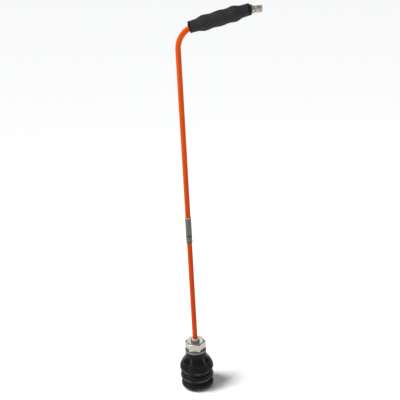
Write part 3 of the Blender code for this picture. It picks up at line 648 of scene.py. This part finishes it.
def bentTube(radius, low, handleEnd, sides):
    bm = bmesh.new()
    loop = tubeStart(bm, radius, low, sides)
    rise = bendHeight - low
    loop = extendTube(bm, loop, Vector((0.0, 0.0, rise * mm)), rowsFor(rise))
    ends = {vert for edge in loop for vert in edge.verts}
    spunLoop = bmesh.ops.spin(
        bm,
        geom=[*ends, *loop],
        cent=bendCentre,
        axis=(0.0, 1.0, 0.0),
        angle=bendAngle,
        steps=stem["bendSteps"],
    )["geom_last"]
    loop = [item for item in spunLoop if isinstance(item, bmesh.types.BMEdge)]
    reach = handleEnd - bendTangent
    along = handleTurn @ Vector((0.0, 0.0, reach * mm))
    extendTube(bm, loop, along, rowsFor(reach))
    return bm


def tubePiece(bm, name, body, node):
    # a skin whose wall grows inwards; the fibres follow it as if it were straight
    piece = finishPiece(bm, name, "stemOrange", body, [node])
    wall = piece.modifiers.new("wall", "SOLIDIFY")
    wall.thickness = stem["wall"] * mm
    wall.offset = -1.0
    straight = piece.data.attributes.new("straight", "FLOAT_VECTOR", "POINT")
    for vert in piece.data.vertices:
        straight.data[vert.index].vector = straightPlace(vert.co)
    return piece


def makeStem():
    lower = bmesh.new()
    loop = tubeStart(lower, stem["radius"], stem["bottom"], stem["sides"])
    rise = stem["jointAt"] - stem["gap"] / 2 - stem["bottom"]
    extendTube(lower, loop, Vector((0.0, 0.0, rise * mm)), rowsFor(rise))
    tubePiece(lower, "lowerStemTube", "probe_frame", "lower_stem")
    upperLow = stem["jointAt"] + stem["gap"] / 2
    upper = bentTube(stem["radius"], upperLow, stem["handleEnd"], stem["sides"])
    tubePiece(upper, "upperStemTube", "probe_frame", "upper_stem")


makeStem()
print("stem made")

# Joint in the stem: a grey sleeve over the tube ends and a loose collar under it
stemJoint = {
    "bore": 6.3,
    "sleeveRadius": 7.05,
    "sleeveLow": 407.0,
    "sleeveHigh": 452.0,
    "lip": 2.2,  # height of the bright rolled lip
    "groove": 0.3,  # depth of the sleeve's two grooves
    "waist": 0.25,  # the collar's middle is this much thinner than its rims
    "lipHighlight": (1.8, 1.0),  # reach and strength of the painted highlight on the lip
    "partingShade": (2.0, 2.0),  # and of the painted shade on the sleeve's lower rim, at its gap over the collar
    "collarGapShade": (1.4, 2.0),  # painted shade on the collar's upper rim, at the same gap
    "collarFootDark": (2.6, 1.6),  # a darker band on its lower rim
    "rowLength": 1.0,
    "collarRadius": 7.2,
    "collarLow": 389.2,
    "collarHigh": 406.7,
    "steps": 96,
}


def makeStemJoint():
    j = stemJoint
    groove = j["sleeveRadius"] - j["groove"]
    outline = [
        (j["bore"], j["sleeveHigh"], 0),
        (j["sleeveRadius"], j["sleeveHigh"], 0.45),
        (j["sleeveRadius"], j["sleeveHigh"] - j["lip"], 0.3),
        (groove, j["sleeveHigh"] - j["lip"] - 0.5, 0.2),
        (groove, j["sleeveHigh"] - j["lip"] - 1.1, 0.2),
        (j["sleeveRadius"], j["sleeveHigh"] - j["lip"] - 1.6, 0.3),
        (j["sleeveRadius"], j["sleeveLow"] + 14.5, 0.2),
        (groove, j["sleeveLow"] + 14.1, 0.15),
        (groove, j["sleeveLow"] + 12.7, 0.15),
        (j["sleeveRadius"], j["sleeveLow"] + 12.3, 0.2),
        (j["sleeveRadius"], j["sleeveLow"], 0.25),
        (j["bore"], j["sleeveLow"], 0),
    ]
    sleeve = spun(outline, j["steps"], j["rowLength"])
    # painted highlight on the rolled lip
    markBands(sleeve, "edge", [(j["sleeveHigh"] - 0.8, *j["lipHighlight"], 0.0)])
    # painted shade at the sleeve's lower rim, over the gap to the collar
    markBands(sleeve, "rimDarkening", [(j["sleeveLow"], *j["partingShade"], 0.0)])
    finishPiece(
        sleeve, "jointSleeve", "sleeveGrey", "probe_frame", ["joint_sleeve"]
    )
    outline = [
        (j["bore"], j["collarHigh"], 0),
        (j["collarRadius"], j["collarHigh"], 0.5),
        (j["collarRadius"], j["collarHigh"] - 3.0, 0.15),
        (j["collarRadius"] - j["waist"], j["collarHigh"] - 3.4, 0.15),
        (j["collarRadius"] - j["waist"], j["collarLow"] + 3.4, 0.15),
        (j["collarRadius"], j["collarLow"] + 3.0, 0.15),
        (j["collarRadius"], j["collarLow"], 0.5),
        (j["bore"], j["collarLow"], 0),
    ]
    collar = spun(outline, j["steps"], j["rowLength"])
    markBands(collar, "edge", [])
    # painted shade on the collar's upper rim at the gap; its lower rim is darker too
    collarDarkBands = [(j["collarHigh"], *j["collarGapShade"], 0.0), (j["collarLow"], *j["collarFootDark"], 0.0)]
    markBands(collar, "rimDarkening", collarDarkBands)
    finishPiece(
        collar, "jointCollar", "sleeveGrey", "joint_collar", ["joint_collar"]
    )


makeStemJoint()
print("stem joint made")

# Hand grip: soft black rubber with three swellings and a diamond knurl
grip = {
    "start": 26.0,  # along the handle
    "length": 133.0,
    "lip": 0.7,  # chamfer round the mouth
    "neck": 12.7,
    "edge": 3.0,
    "bore": 6.3,
    "pocket": 9.3,
    "pocketAt": 146.0,
    "diamond": 7.4,  # diagonal of a diamond along the grip
    "diamondsRound": 16,
    "perDiamond": 12,
    "depth": 1.15,
    "plainMouth": 1.0,  # no knurl this near the mouth
    "plainEnd": 2.5,  # or the free end
    "fade": 4.0,  # and it grows to its full depth over this length
    "crown": 0.85,  # below 1, the diamonds' tops are flatter
    "edgeSteps": 8,
    "boreRows": 4,
    "bendSteps": 10,
    "swellings": (
        # share of the length, and how far the grip stands out from its neck there
        (0.0, 0.0),
        (0.11, 0.43),
        (0.25, 4.3),
        (0.375, 2.9),
        (0.5, 4.3),
        (0.625, 2.9),
        (0.73, 4.5),
        (0.87, 0.45),
        (1.0, 0.0),
    ),
}


def gripRadius(share):
    keys = grip["swellings"]
    for (start, low), (end, high) in zip(keys, keys[1:]):
        if share <= end:
            ease = (1 - math.cos(math.pi * (share - start) / (end - start))) / 2
            return grip["neck"] + low + (high - low) * ease


def ridge(value):
    # 0 in a groove, 1 halfway between two grooves
    return 1.0 - abs(2.0 * (value % 1.0) - 1.0)


def makeHandGrip():
    g = grip
    end = g["start"] + g["length"]
    step = g["diamond"] / g["perDiamond"]
    rows = int((g["length"] - g["lip"] - g["edge"]) / step)
    bm = bmesh.new()
    skin = []
    for row in range(rows + 1):
        along = g["start"] + g["lip"] + row * step
        skin.append((gripRadius((along - g["start"]) / g["length"]), along))
    rounded = []
    for part in range(1, g["edgeSteps"] + 1):
        angle = math.pi / 2 * part / g["edgeSteps"]
        inwards = g["edge"] * (1 - math.cos(angle))
        rounded.append((g["neck"] - inwards, end - g["edge"] * (1 - math.sin(angle))))
    outline = [(g["neck"] - g["lip"], g["start"]), *skin, *rounded]
    outline += [(g["pocket"], end), (g["pocket"], g["pocketAt"])]
    for row in range(g["boreRows"] + 1):
        share = row / g["boreRows"]
        outline.append((g["bore"], g["pocketAt"] + (bendTangent - g["pocketAt"]) * share))
    verts = [bm.verts.new((radius * mm, 0.0, along * mm)) for radius, along in outline]
    for first, second in zip(verts, verts[1:]):
        bm.edges.new((first, second))
    sides = g["diamondsRound"] * g["perDiamond"]
    turnRound(bm, sides, g["diamondsRound"])
    layer = bm.verts.layers.float.new("raised")
    for vert in bm.verts:
        along = vert.co.z / mm
        radius = math.hypot(vert.co.x, vert.co.y) / mm
        around = math.atan2(vert.co.y, vert.co.x) / (2 * math.pi) * g["diamondsRound"]
        turns = (along - g["start"] - g["lip"]) / g["diamond"]
        height = min(ridge(turns + around), ridge(turns - around))
        fromEnds = min(along - g["start"] - g["plainMouth"], end - g["plainEnd"] - along)
        fade = min(1.0, max(0.0, fromEnds / g["fade"]))
        skinned = radius > g["pocket"] + 1.0
        vert[layer] = height * fade if skinned else 0.5
        if skinned and fade > 0.0:
            sunk = (1.0 - height ** g["crown"]) * g["depth"] * fade
            vert.co.x *= (radius - sunk) / radius
            vert.co.y *= (radius - sunk) / radius
    # the bore follows the stem out of its bend
    rims = [edge for edge in bm.edges if edge.is_boundary]
    mouth = [edge for edge in rims if edge.verts[0].co.z < (g["start"] + 0.1) * mm]
    bore = [edge for edge in rims if edge not in mouth]
    bmesh.ops.transform(bm, matrix=handlePlace, verts=bm.verts)
    back = math.asin((bendTangent - g["start"]) / stem["bendRadius"])
    turned = bmesh.ops.spin(
        bm,
        geom=[*{vert for edge in bore for vert in edge.verts}, *bore],
        cent=bendCentre,
        axis=(0.0, 1.0, 0.0),
        angle=-back,
        steps=g["bendSteps"],
    )["geom_last"]
    startLoop = [item for item in turned if isinstance(item, bmesh.types.BMEdge)]
    bmesh.ops.bridge_loops(bm, edges=[*mouth, *startLoop])
    finishPiece(
        bm, "knurledGrip", "gripRubber", "probe_frame", ["hand_grip"], 60.0
    )


makeHandGrip()
print("hand grip made")

# End bush and plug connector, drooping a little from the handle's line
plug = {
    "bushRadius": 9.0,
    "bushLow": 146.3,  # along the handle
    "bushEdge": 0.6,
    "face": 11.2,  # from here on along the plug's own axis
    "shank": 4.0,
    "shankLow": 1.5,
    "flangeLow": 11.5,
    "flangeHigh": 14.5,
    "flangeRadius": 8.7,
    "barrel": 5.6,
    "mouth": 4.5,
    "mouthFloor": 17.5,
    "end": 31.5,
    "cableBore": 2.5,
    "sleeveLow": 14.8,
    "sleeveHigh": 32.8,
    "sleeveInner": 5.9,
    "sleeveRadius": 7.6,
    "windowRadius": 1.6,
    "windowTurn": 22.0,
    "windowShares": (0.17, 0.78),
    "waist": 0.45,  # depth of the sleeve's two grooves
    "ribs": 36,
    "ribDepth": 0.22,
    "steps": 144,
}


def cutAway(bm, place, normal):
    # cuts off what lies beyond a plane and closes the cut
    cut = bmesh.ops.bisect_plane(
        bm,
        geom=bm.verts[:] + bm.edges[:] + bm.faces[:],
        dist=0.0001 * mm,
        plane_co=place,
        plane_no=normal,
        clear_outer=True,
    )["geom_cut"]
    bmesh.ops.holes_fill(bm, edges=[item for item in cut if isinstance(item, bmesh.types.BMEdge)])


def makeEndBush():
    p = plug
    bm = bmesh.new()
    radius = p["bushRadius"] * mm
    made = bmesh.ops.create_circle(bm, cap_ends=True, radius=radius, segments=96)["verts"]
    low = Matrix.Translation((0.0, 0.0, p["bushLow"] * mm))
    bmesh.ops.transform(bm, matrix=handlePlace @ low, verts=made)
    grown = bmesh.ops.extrude_face_region(bm, geom=bm.faces[:])["geom"]
    top = [item for item in grown if isinstance(item, bmesh.types.BMVert)]
    blank = 30.0 * mm  # longer than the bush, then cut square to the plug
    bmesh.ops.translate(bm, verts=top, vec=handleTurn @ Vector((0.0, 0.0, blank)))
    normal = plugTurn @ Vector((0.0, 0.0, 1.0))
    cutAway(bm, plugPlace @ Vector((0.0, 0.0, p["face"] * mm)), normal)
    bmesh.ops.remove_doubles(bm, verts=bm.verts, dist=mergeWithin)
    bmesh.ops.recalc_face_normals(bm, faces=bm.faces)
    front = max(bm.faces, key=lambda face: face.normal.dot(normal) * (len(face.verts) > 8))
    bmesh.ops.bevel(
        bm,
        geom=list(front.edges),
        affect="EDGES",
        offset=p["bushEdge"] * mm,
        segments=4,
        profile=0.5,
        material=-1,
    )
    finishPiece(bm, "endBush", "rubber", "probe_frame", ["end_bush"])


def makeConnector():
    p = plug
    outline = [
        (p["mouth"], p["end"], 0.25),
        (p["barrel"], p["end"], 0.3),
        (p["barrel"], p["flangeHigh"], 0.0),
        (p["flangeRadius"], p["flangeHigh"], 0.6),
        (p["flangeRadius"], p["flangeLow"], 0.6),
        (p["shank"], p["flangeLow"], 0.0),
        (p["shank"], p["shankLow"], 0.3),
        (p["cableBore"], p["shankLow"], 0.2),
        (p["cableBore"], p["mouthFloor"], 0.0),
        (p["mouth"], p["mouthFloor"], 0.0),
    ]
    shell = spun(outline, p["steps"], 2.0)
    bmesh.ops.transform(shell, matrix=plugPlace, verts=shell.verts)
    finishPiece(shell, "plugShell", "plugCore", "probe_frame", ["connector_shell"])

    waist = p["sleeveRadius"] - p["waist"]
    outline = [
        (p["sleeveInner"], p["sleeveHigh"], 0.3),
        (p["sleeveRadius"], p["sleeveHigh"], 0.7),
        (p["sleeveRadius"], p["sleeveHigh"] - 2.6, 0.2),
        (waist, p["sleeveHigh"] - 3.1, 0.2),
        (waist, p["sleeveHigh"] - 4.9, 0.2),
        (p["sleeveRadius"], p["sleeveHigh"] - 5.4, 0.2),
        (p["sleeveRadius"], p["sleeveLow"] + 5.2, 0.2),
        (waist, p["sleeveLow"] + 4.7, 0.2),
        (waist, p["sleeveLow"] + 2.4, 0.2),
        (p["sleeveRadius"], p["sleeveLow"] + 1.9, 0.2),
        (p["sleeveRadius"], p["sleeveLow"], 0.5),
        (p["sleeveInner"], p["sleeveLow"], 0.3),
    ]
    sleeve = spun(outline, p["steps"], 1.2)
    ribsLow = p["sleeveLow"] + 4.9
    ribsHigh = p["sleeveHigh"] - 5.1
    for vert in sleeve.verts:
        radius = math.hypot(vert.co.x, vert.co.y) / mm
        height = vert.co.z / mm
        if radius > p["sleeveRadius"] - 0.1 and ribsLow < height < ribsHigh:
            around = math.atan2(vert.co.y, vert.co.x) / (2 * math.pi) * p["ribs"]
            sunk = p["ribDepth"] * (0.5 + 0.5 * math.cos(2 * math.pi * around))
            vert.co.x *= (radius - sunk) / radius
            vert.co.y *= (radius - sunk) / radius
    piece = finishPiece(
        sleeve, "couplingSleeve", "plugNickel", "coupling_sleeve", ["coupling_sleeve"]
    )
    drills = bmesh.new()
    for share in p["windowShares"]:
        height = p["sleeveLow"] + share * (p["sleeveHigh"] - p["sleeveLow"])
        place = (
            Matrix.Translation((0.0, 0.0, height * mm))
            @ Matrix.Rotation(math.radians(p["windowTurn"]), 4, "Z")
            @ Matrix.Rotation(math.pi / 2, 4, "X")
        )
        bmesh.ops.create_cone(
            drills,
            cap_ends=True,
            segments=40,
            radius1=p["windowRadius"] * mm,
            radius2=p["windowRadius"] * mm,
            depth=4 * p["sleeveRadius"] * mm,
            matrix=place,
        )
    drillMesh = bpy.data.meshes.new("windowDrills")
    drills.to_mesh(drillMesh)
    drills.free()
    drillPiece = bpy.data.objects.new("windowDrills", drillMesh)
    bpy.context.scene.collection.objects.link(drillPiece)
    cut = piece.modifiers.new("windows", "BOOLEAN")
    cut.operation = "DIFFERENCE"
    cut.solver = "EXACT"
    cut.object = drillPiece
    bpy.context.view_layer.update()
    drilled = piece.evaluated_get(bpy.context.evaluated_depsgraph_get())
    cutMesh = bpy.data.meshes.new_from_object(drilled)
    piece.modifiers.remove(cut)
    piece.data = cutMesh
    cutMesh.transform(plugPlace)
    cutMesh.set_sharp_from_angle(angle=math.radians(30.0))
    bpy.data.objects.remove(drillPiece)


makeEndBush()
makeConnector()
print("connector made")

# Fittings on top of the head
fittings = {
    "nutFlats": 19.0,
    "nutLow": 125.3,
    "nutHigh": 134.0,
    "nutShank": 8.0,
    "nutShankLow": 116.8,
    "nutBore": 6.3,
    "nutTurn": -4.0,
    "nutSoften": 0.22,
    "blankOver": 0.1,  # the turned blank stands this far past a hexagon's corners
    "hexFlats": 44.0,
    "hexLow": 104.6,
    "hexHigh": 125.0,
    "hexTurn": -8.0,
    "hexSoften": 0.45,
    "hexShank": 16.7,
    "hexShankLow": 76.0,
    "hexBore": 8.3,
    "hexSeat": 111.7,
    "stemBore": 6.3,
    "innerBore": 4.8,
    "grommetBore": 9.0,
    "stemSeat": 91.7,
    "grommetTop": 83.0,
    "washerRadius": 26.0,
    "washerInner": 17.0,
    "washerLow": 99.3,
    "washerHigh": 104.3,
    "steps": 144,
}


def cutHexagon(bm, flats, turn, soften):
    # cuts six flats on a turned blank and softens the new edges
    for side in range(6):
        angle = math.radians(turn - 90.0 + 60.0 * side)
        outwards = Vector((math.cos(angle), math.sin(angle), 0.0))
        cutAway(bm, outwards * flats / 2 * mm, outwards)
    bmesh.ops.remove_doubles(bm, verts=bm.verts, dist=mergeWithin)
    bmesh.ops.recalc_face_normals(bm, faces=bm.faces)
    smallest = 20.0 * mm * mm  # the flats and the blank's wall have larger faces than this
    wide = [face for face in bm.faces if face.calc_area() > smallest and abs(face.normal.z) < 0.1]
    edges = {edge for face in wide for edge in face.edges}
    bmesh.ops.bevel(
        bm,
        geom=[edge for edge in edges if edge.calc_face_angle(0.0) > math.radians(12.0)],
        affect="EDGES",
        offset=soften * mm,
        offset_type="OFFSET",
        segments=2,
        profile=0.5,
        material=-1,
        clamp_overlap=True,
    )


def makeFittings():
    f = fittings
    corner = f["nutFlats"] / 2 / math.cos(math.pi / 6) + f["blankOver"]
    outline = [
        (f["nutBore"], f["nutHigh"], 0.3),
        (f["nutFlats"] / 2 - 0.5, f["nutHigh"], 0.1),
        (corner, f["nutHigh"] - 0.9, 0.0),
        (corner, f["nutLow"] + 0.5, 0.0),
        (f["nutFlats"] / 2 - 0.1, f["nutLow"], 0.1),
        (f["nutShank"], f["nutLow"], 0.0),
        (f["nutShank"], f["nutShankLow"], 0.3),
        (f["nutBore"], f["nutShankLow"], 0.2),
    ]
    nut = spun(outline, f["steps"])
    cutHexagon(nut, f["nutFlats"], f["nutTurn"], f["nutSoften"])
    finishPiece(nut, "compressionNut", "nickel", "probe_frame", ["compression_nut"])

    corner = f["hexFlats"] / 2 / math.cos(math.pi / 6) + f["blankOver"]
    outline = [
        (f["hexBore"], f["hexHigh"], 0.4),
        (f["hexFlats"] / 2 - 2.2, f["hexHigh"], 0.15),
        (corner, f["hexHigh"] - 2.1, 0.0),
        (corner, f["hexLow"] + 0.8, 0.0),
        (f["hexFlats"] / 2 - 0.4, f["hexLow"], 0.1),
        (f["hexShank"], f["hexLow"], 0.0),
        (f["hexShank"], f["hexShankLow"], 0.5),
        (f["grommetBore"], f["hexShankLow"], 0.3),
        (f["grommetBore"], f["grommetTop"], 0.0),
        (f["innerBore"], f["grommetTop"], 0.0),
        (f["innerBore"], f["stemSeat"], 0.0),
        (f["stemBore"], f["stemSeat"], 0.0),
        (f["stemBore"], f["hexSeat"], 0.0),
        (f["hexBore"], f["hexSeat"], 0.0),
    ]
    bushing = spun(outline, f["steps"])
    cutHexagon(bushing, f["hexFlats"], f["hexTurn"], f["hexSoften"])
    finishPiece(bushing, "hexBushing", "nickel", "probe_frame", ["hex_bushing"])

    outline = [
        (f["washerInner"], f["washerHigh"], 0.3),
        (f["washerRadius"], f["washerHigh"], 0.8),
        (f["washerRadius"], f["washerLow"], 0.8),
        (f["washerInner"], f["washerLow"], 0.3),
    ]
    washer = spun(outline, f["steps"])
    finishPiece(
        washer, "sealingWasher", "washerGrey", "probe_frame", ["sealing_washer"]
    )


makeFittings()
print("fittings made")

# Search head: three fluted tiers round a closed housing, on a flat contact plate
head = {
    "flutes": 44,
    "perFlute": 12,
    "fluteRadius": 1.7,
    "fluteDepth": 0.9,
    "fluteLead": 1.0,  # a flute starts this far under its low point
    "fluteRise": 2.0,  # and is full after this length
    "fluteTail": 1.5,  # it ends this far past its high point
    "fluteFall": 3.0,  # after falling off over this length
    "longest": 2.0,  # rows of faces are no taller than this
    "plainSteps": 180,  # round the pieces without flutes
}


def arcOf(centre, radius, start, end, parts):
    points = []
    for part in range(parts + 1):
        angle = math.radians(start + (end - start) * part / parts)
        across = centre[0] + radius * math.cos(angle)
        points.append((across, centre[1] + radius * math.sin(angle), 0.0))
    return points


def cutFlutes(bm, low, high, phase, inner):
    # presses flutes into the outer wall along a line between two (radius, height) points;
    # what is nearer the axis than inner stays as it is
    slope = (high[0] - low[0]) / (high[1] - low[1])
    for vert in bm.verts:
        radius = math.hypot(vert.co.x, vert.co.y) / mm
        height = vert.co.z / mm
        if radius < inner:
            continue
        turn = (math.atan2(vert.co.y, vert.co.x) - phase) / (2 * math.pi) * head["flutes"]
        across = (turn - round(turn)) * 2 * math.pi * radius / head["flutes"]
        room = head["fluteRadius"] ** 2 - across ** 2
        starts = (height - low[1] + head["fluteLead"]) / head["fluteRise"]
        runsOut = (high[1] + head["fluteTail"] - height) / head["fluteFall"]
        ends = min(1.0, starts, runsOut)
        if room <= 0.0 or ends <= 0.0:
            continue
        line = low[0] + slope * (height - low[1])
        floor = line + (head["fluteRadius"] - head["fluteDepth"]) - math.sqrt(room)
        sunk = max(0.0, radius - floor) * ends
        vert.co.x *= (radius - sunk) / radius
        vert.co.y *= (radius - sunk) / radius


# Outline corners are (radius, height, rounding); flutes run from low to high, (radius, height);
# worn bands are (height, reach, strength, least radius); on the tiers' rims they paint a highlight
# as well as wear
headCap = {
    "outline": [
        (25.4, 99.0, 0.6),
        (25.4, 92.0, 0.0),
        (26.0, 88.0, 2.0),
        (27.4, 84.0, 2.0),
        (29.4, 80.0, 2.0),
        (32.2, 76.2, 1.6),
        (34.3, 73.5, 1.2),
        (37.2, 68.0, 2.0),
        (39.2, 63.8, 1.8),
        (40.7, 59.8, 1.5),
        (41.2, 56.5, 1.2),
        *arcOf((39.7, 53.4), 1.8, 10.0, -75.0, 10),
        (38.1, 50.0, 0.3),
        (36.0, 50.7, 0.3),
        (36.0, 42.3, 0.3),
        (32.7, 42.3, 0.0),
        (32.7, 35.3, 0.2),
        (28.0, 35.3, 0.2),
        (28.0, 47.0, 0.0),
        (35.9, 54.5, 1.5),
        (36.5, 59.8, 1.5),
        (32.9, 68.0, 1.5),
        (25.4, 77.5, 1.5),
        (24.5, 84.7, 0.0),
        (17.0, 84.7, 0.0),
        (17.0, 99.0, 0.3),
    ],
    "low": (41.5, 57.0),
    "high": (34.9, 73.5),
    "turn": 0.0,  # in flutes
    "inner": 33.8,
    # the first band paints a highlight on the rim as well as wear
    "worn": [(52.6, 2.2, 1.0, 36.5), (99.0, 0.8, 1.0, 0.0)],
}
clampRing = {
    "outline": [
        (33.0, 42.0, 0.2),
        (37.0, 42.0, 0.3),
        (38.0, 41.3, 0.3),
        *arcOf((38.9, 31.2), 2.0, 15.0, -70.0, 10),
        (37.5, 28.0, 0.3),
        (33.0, 28.0, 0.2),
    ],
    "low": (40.9, 31.6),
    "high": (37.9, 42.3),
    "turn": 0.5,
    "inner": 36.5,
    # this band paints a highlight on the rim as well as wear
    "worn": [(30.4, 2.2, 1.0, 36.0)],
}
footRing = {
    "outline": [
        (33.0, 18.0, 0.2),
        (36.7, 18.0, 0.3),
        (37.9, 17.3, 0.3),
        *arcOf((31.6, 9.0), 8.0, 8.0, -80.0, 16),
        (31.6, 0.6, 0.0),
        (29.0, 0.6, 0.2),
        (29.0, 2.7, 0.0),
        (31.8, 2.7, 0.0),
        (31.8, 5.8, 0.0),
        (33.0, 6.1, 0.0),
    ],
    "low": (39.6, 9.5),
    "high": (37.4, 18.3),
    "turn": 0.0,
    "inner": 36.0,
    # this band paints a highlight on the rim as well as wear
    "worn": [(7.5, 3.0, 0.8, 36.0)],
}
sensorHousing = {
    "outline": [
        (28.0, 35.0, 0.2),
        (32.7, 35.0, 0.2),
        (32.7, 27.7, 0.0),
        (35.5, 27.7, 0.4),
        (35.5, 25.4, 0.2),
        (35.1, 25.0, 0.2),
        (35.1, 21.0, 0.2),
        (35.5, 20.6, 0.2),
        (35.5, 18.3, 0.4),
        (32.7, 18.3, 0.0),
        (32.7, 6.4, 0.3),
        (0.0, 6.4, 0.0),
        (0.0, 8.5, 0.0),
        (28.0, 8.5, 0.5),
    ],
    "worn": [],
}
contactPlate = {
    "outline": [
        (0.0, 5.5, 0.0),
        (31.5, 5.5, 0.2),
        (31.5, 3.0, 0.2),
        (28.7, 3.0, 0.0),
        (28.7, 0.0, 0.7),
        (24.0, 0.0, 0.3),
        (23.6, 0.3, 0.2),
        (0.0, 0.3, 0.0),
    ],
    "worn": [(0.0, 0.6, 0.6, 23.0)],
}


def makeTier(name, tier, body, node):
    flutes = head["flutes"]
    bm = spun(tier["outline"], flutes * head["perFlute"], head["longest"], flutes)
    markBands(bm, "edge", tier["worn"])
    phase = 2 * math.pi * tier["turn"] / flutes
    cutFlutes(bm, tier["low"], tier["high"], phase, tier["inner"])
    finishPiece(bm, name, "headBlack", body, [node], 40.0)


def makePlain(name, shape, node):
    bm = spun(shape["outline"], head["plainSteps"])
    markBands(bm, "edge", shape["worn"])
    finishPiece(bm, name, "headBlack", "probe_frame", [node])


def makeHead():
    makeTier("headCap", headCap, "probe_frame", "head_cap")
    makeTier("clampRing", clampRing, "clamp_ring", "clamp_ring")
    makeTier("footRing", footRing, "foot_ring", "foot_ring")
    makePlain("sensorHousing", sensorHousing, "sensor_housing")
    makePlain("contactPlate", contactPlate, "contact_plate")


makeHead()
print("head made")

# CAD pieces that keep their shape and get a finish
keptFinishes = {
    "joint_spigot": "zincSteel",
    "housing_seal": "rubber",
    "cable_grommet": "rubber",
    "signal_cable": "rubber",
    "lock_nut": "brass",
    "compression_olive": "brass",
    "coil_bobbin": "naturalMoulding",
    "coil_winding": "copperWire",
    "ferrite_core": "ferrite",
    "circuit_board": "boardGreen",
    "connector_insert": "rubber",
    "board_spacer": "brass",
    "board_screw": "zincSteel",
    "board_chip": "chipBlack",
    "contact": "brass",
}


def finishKept():
    for name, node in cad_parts.items():
        if node.hide_render:
            continue
        finish = keptFinishes.get(name) or keptFinishes[name.rsplit("_", 1)[0]]
        node.data.materials.clear()
        node.data.materials.append(finishes[finish])


finishKept()
print("CAD pieces finished")

# Studio
def makeStudio():
    bm = bmesh.new()
    bmesh.ops.create_grid(bm, x_segments=2, y_segments=2, size=studio["floorSize"] / 2)
    mesh = bpy.data.meshes.new("studioFloor")
    bm.to_mesh(mesh)
    bm.free()
    floor = bpy.data.objects.new("studioFloor", mesh)
    floor.location.z = -studio["floorDrop"] * mm
    bpy.context.scene.collection.objects.link(floor)
    mesh.materials.append(finishes["floor"])
    for name, values in lights.items():
        addLight(name, *values)
    addSun()
    world = bpy.data.worlds.new("studioWorld")
    world.use_nodes = True
    wire = Wire(world.node_tree)
    lit = {0: opaque(studio["worldTone"]), 1: studio["worldStrength"]}
    behind = {0: opaque(studio["backdropTone"]), 1: studio["backdropStrength"]}
    room = wire.node("ShaderNodeBackground", {}, lit)
    backdrop = wire.node("ShaderNodeBackground", {}, behind)
    seen = wire.node("ShaderNodeLightPath")
    shown = wire.node("ShaderNodeMixShader", {}, {0: seen, 1: room, 2: backdrop})
    outside = world.node_tree.nodes["World Output"].inputs["Surface"]
    world.node_tree.links.new(shown.socket, outside)
    bpy.context.scene.world = world
    bpy.context.scene.view_settings.view_transform = "Standard"  # finishes keep their own tones


makeStudio()
setCamera()
print("studio made")
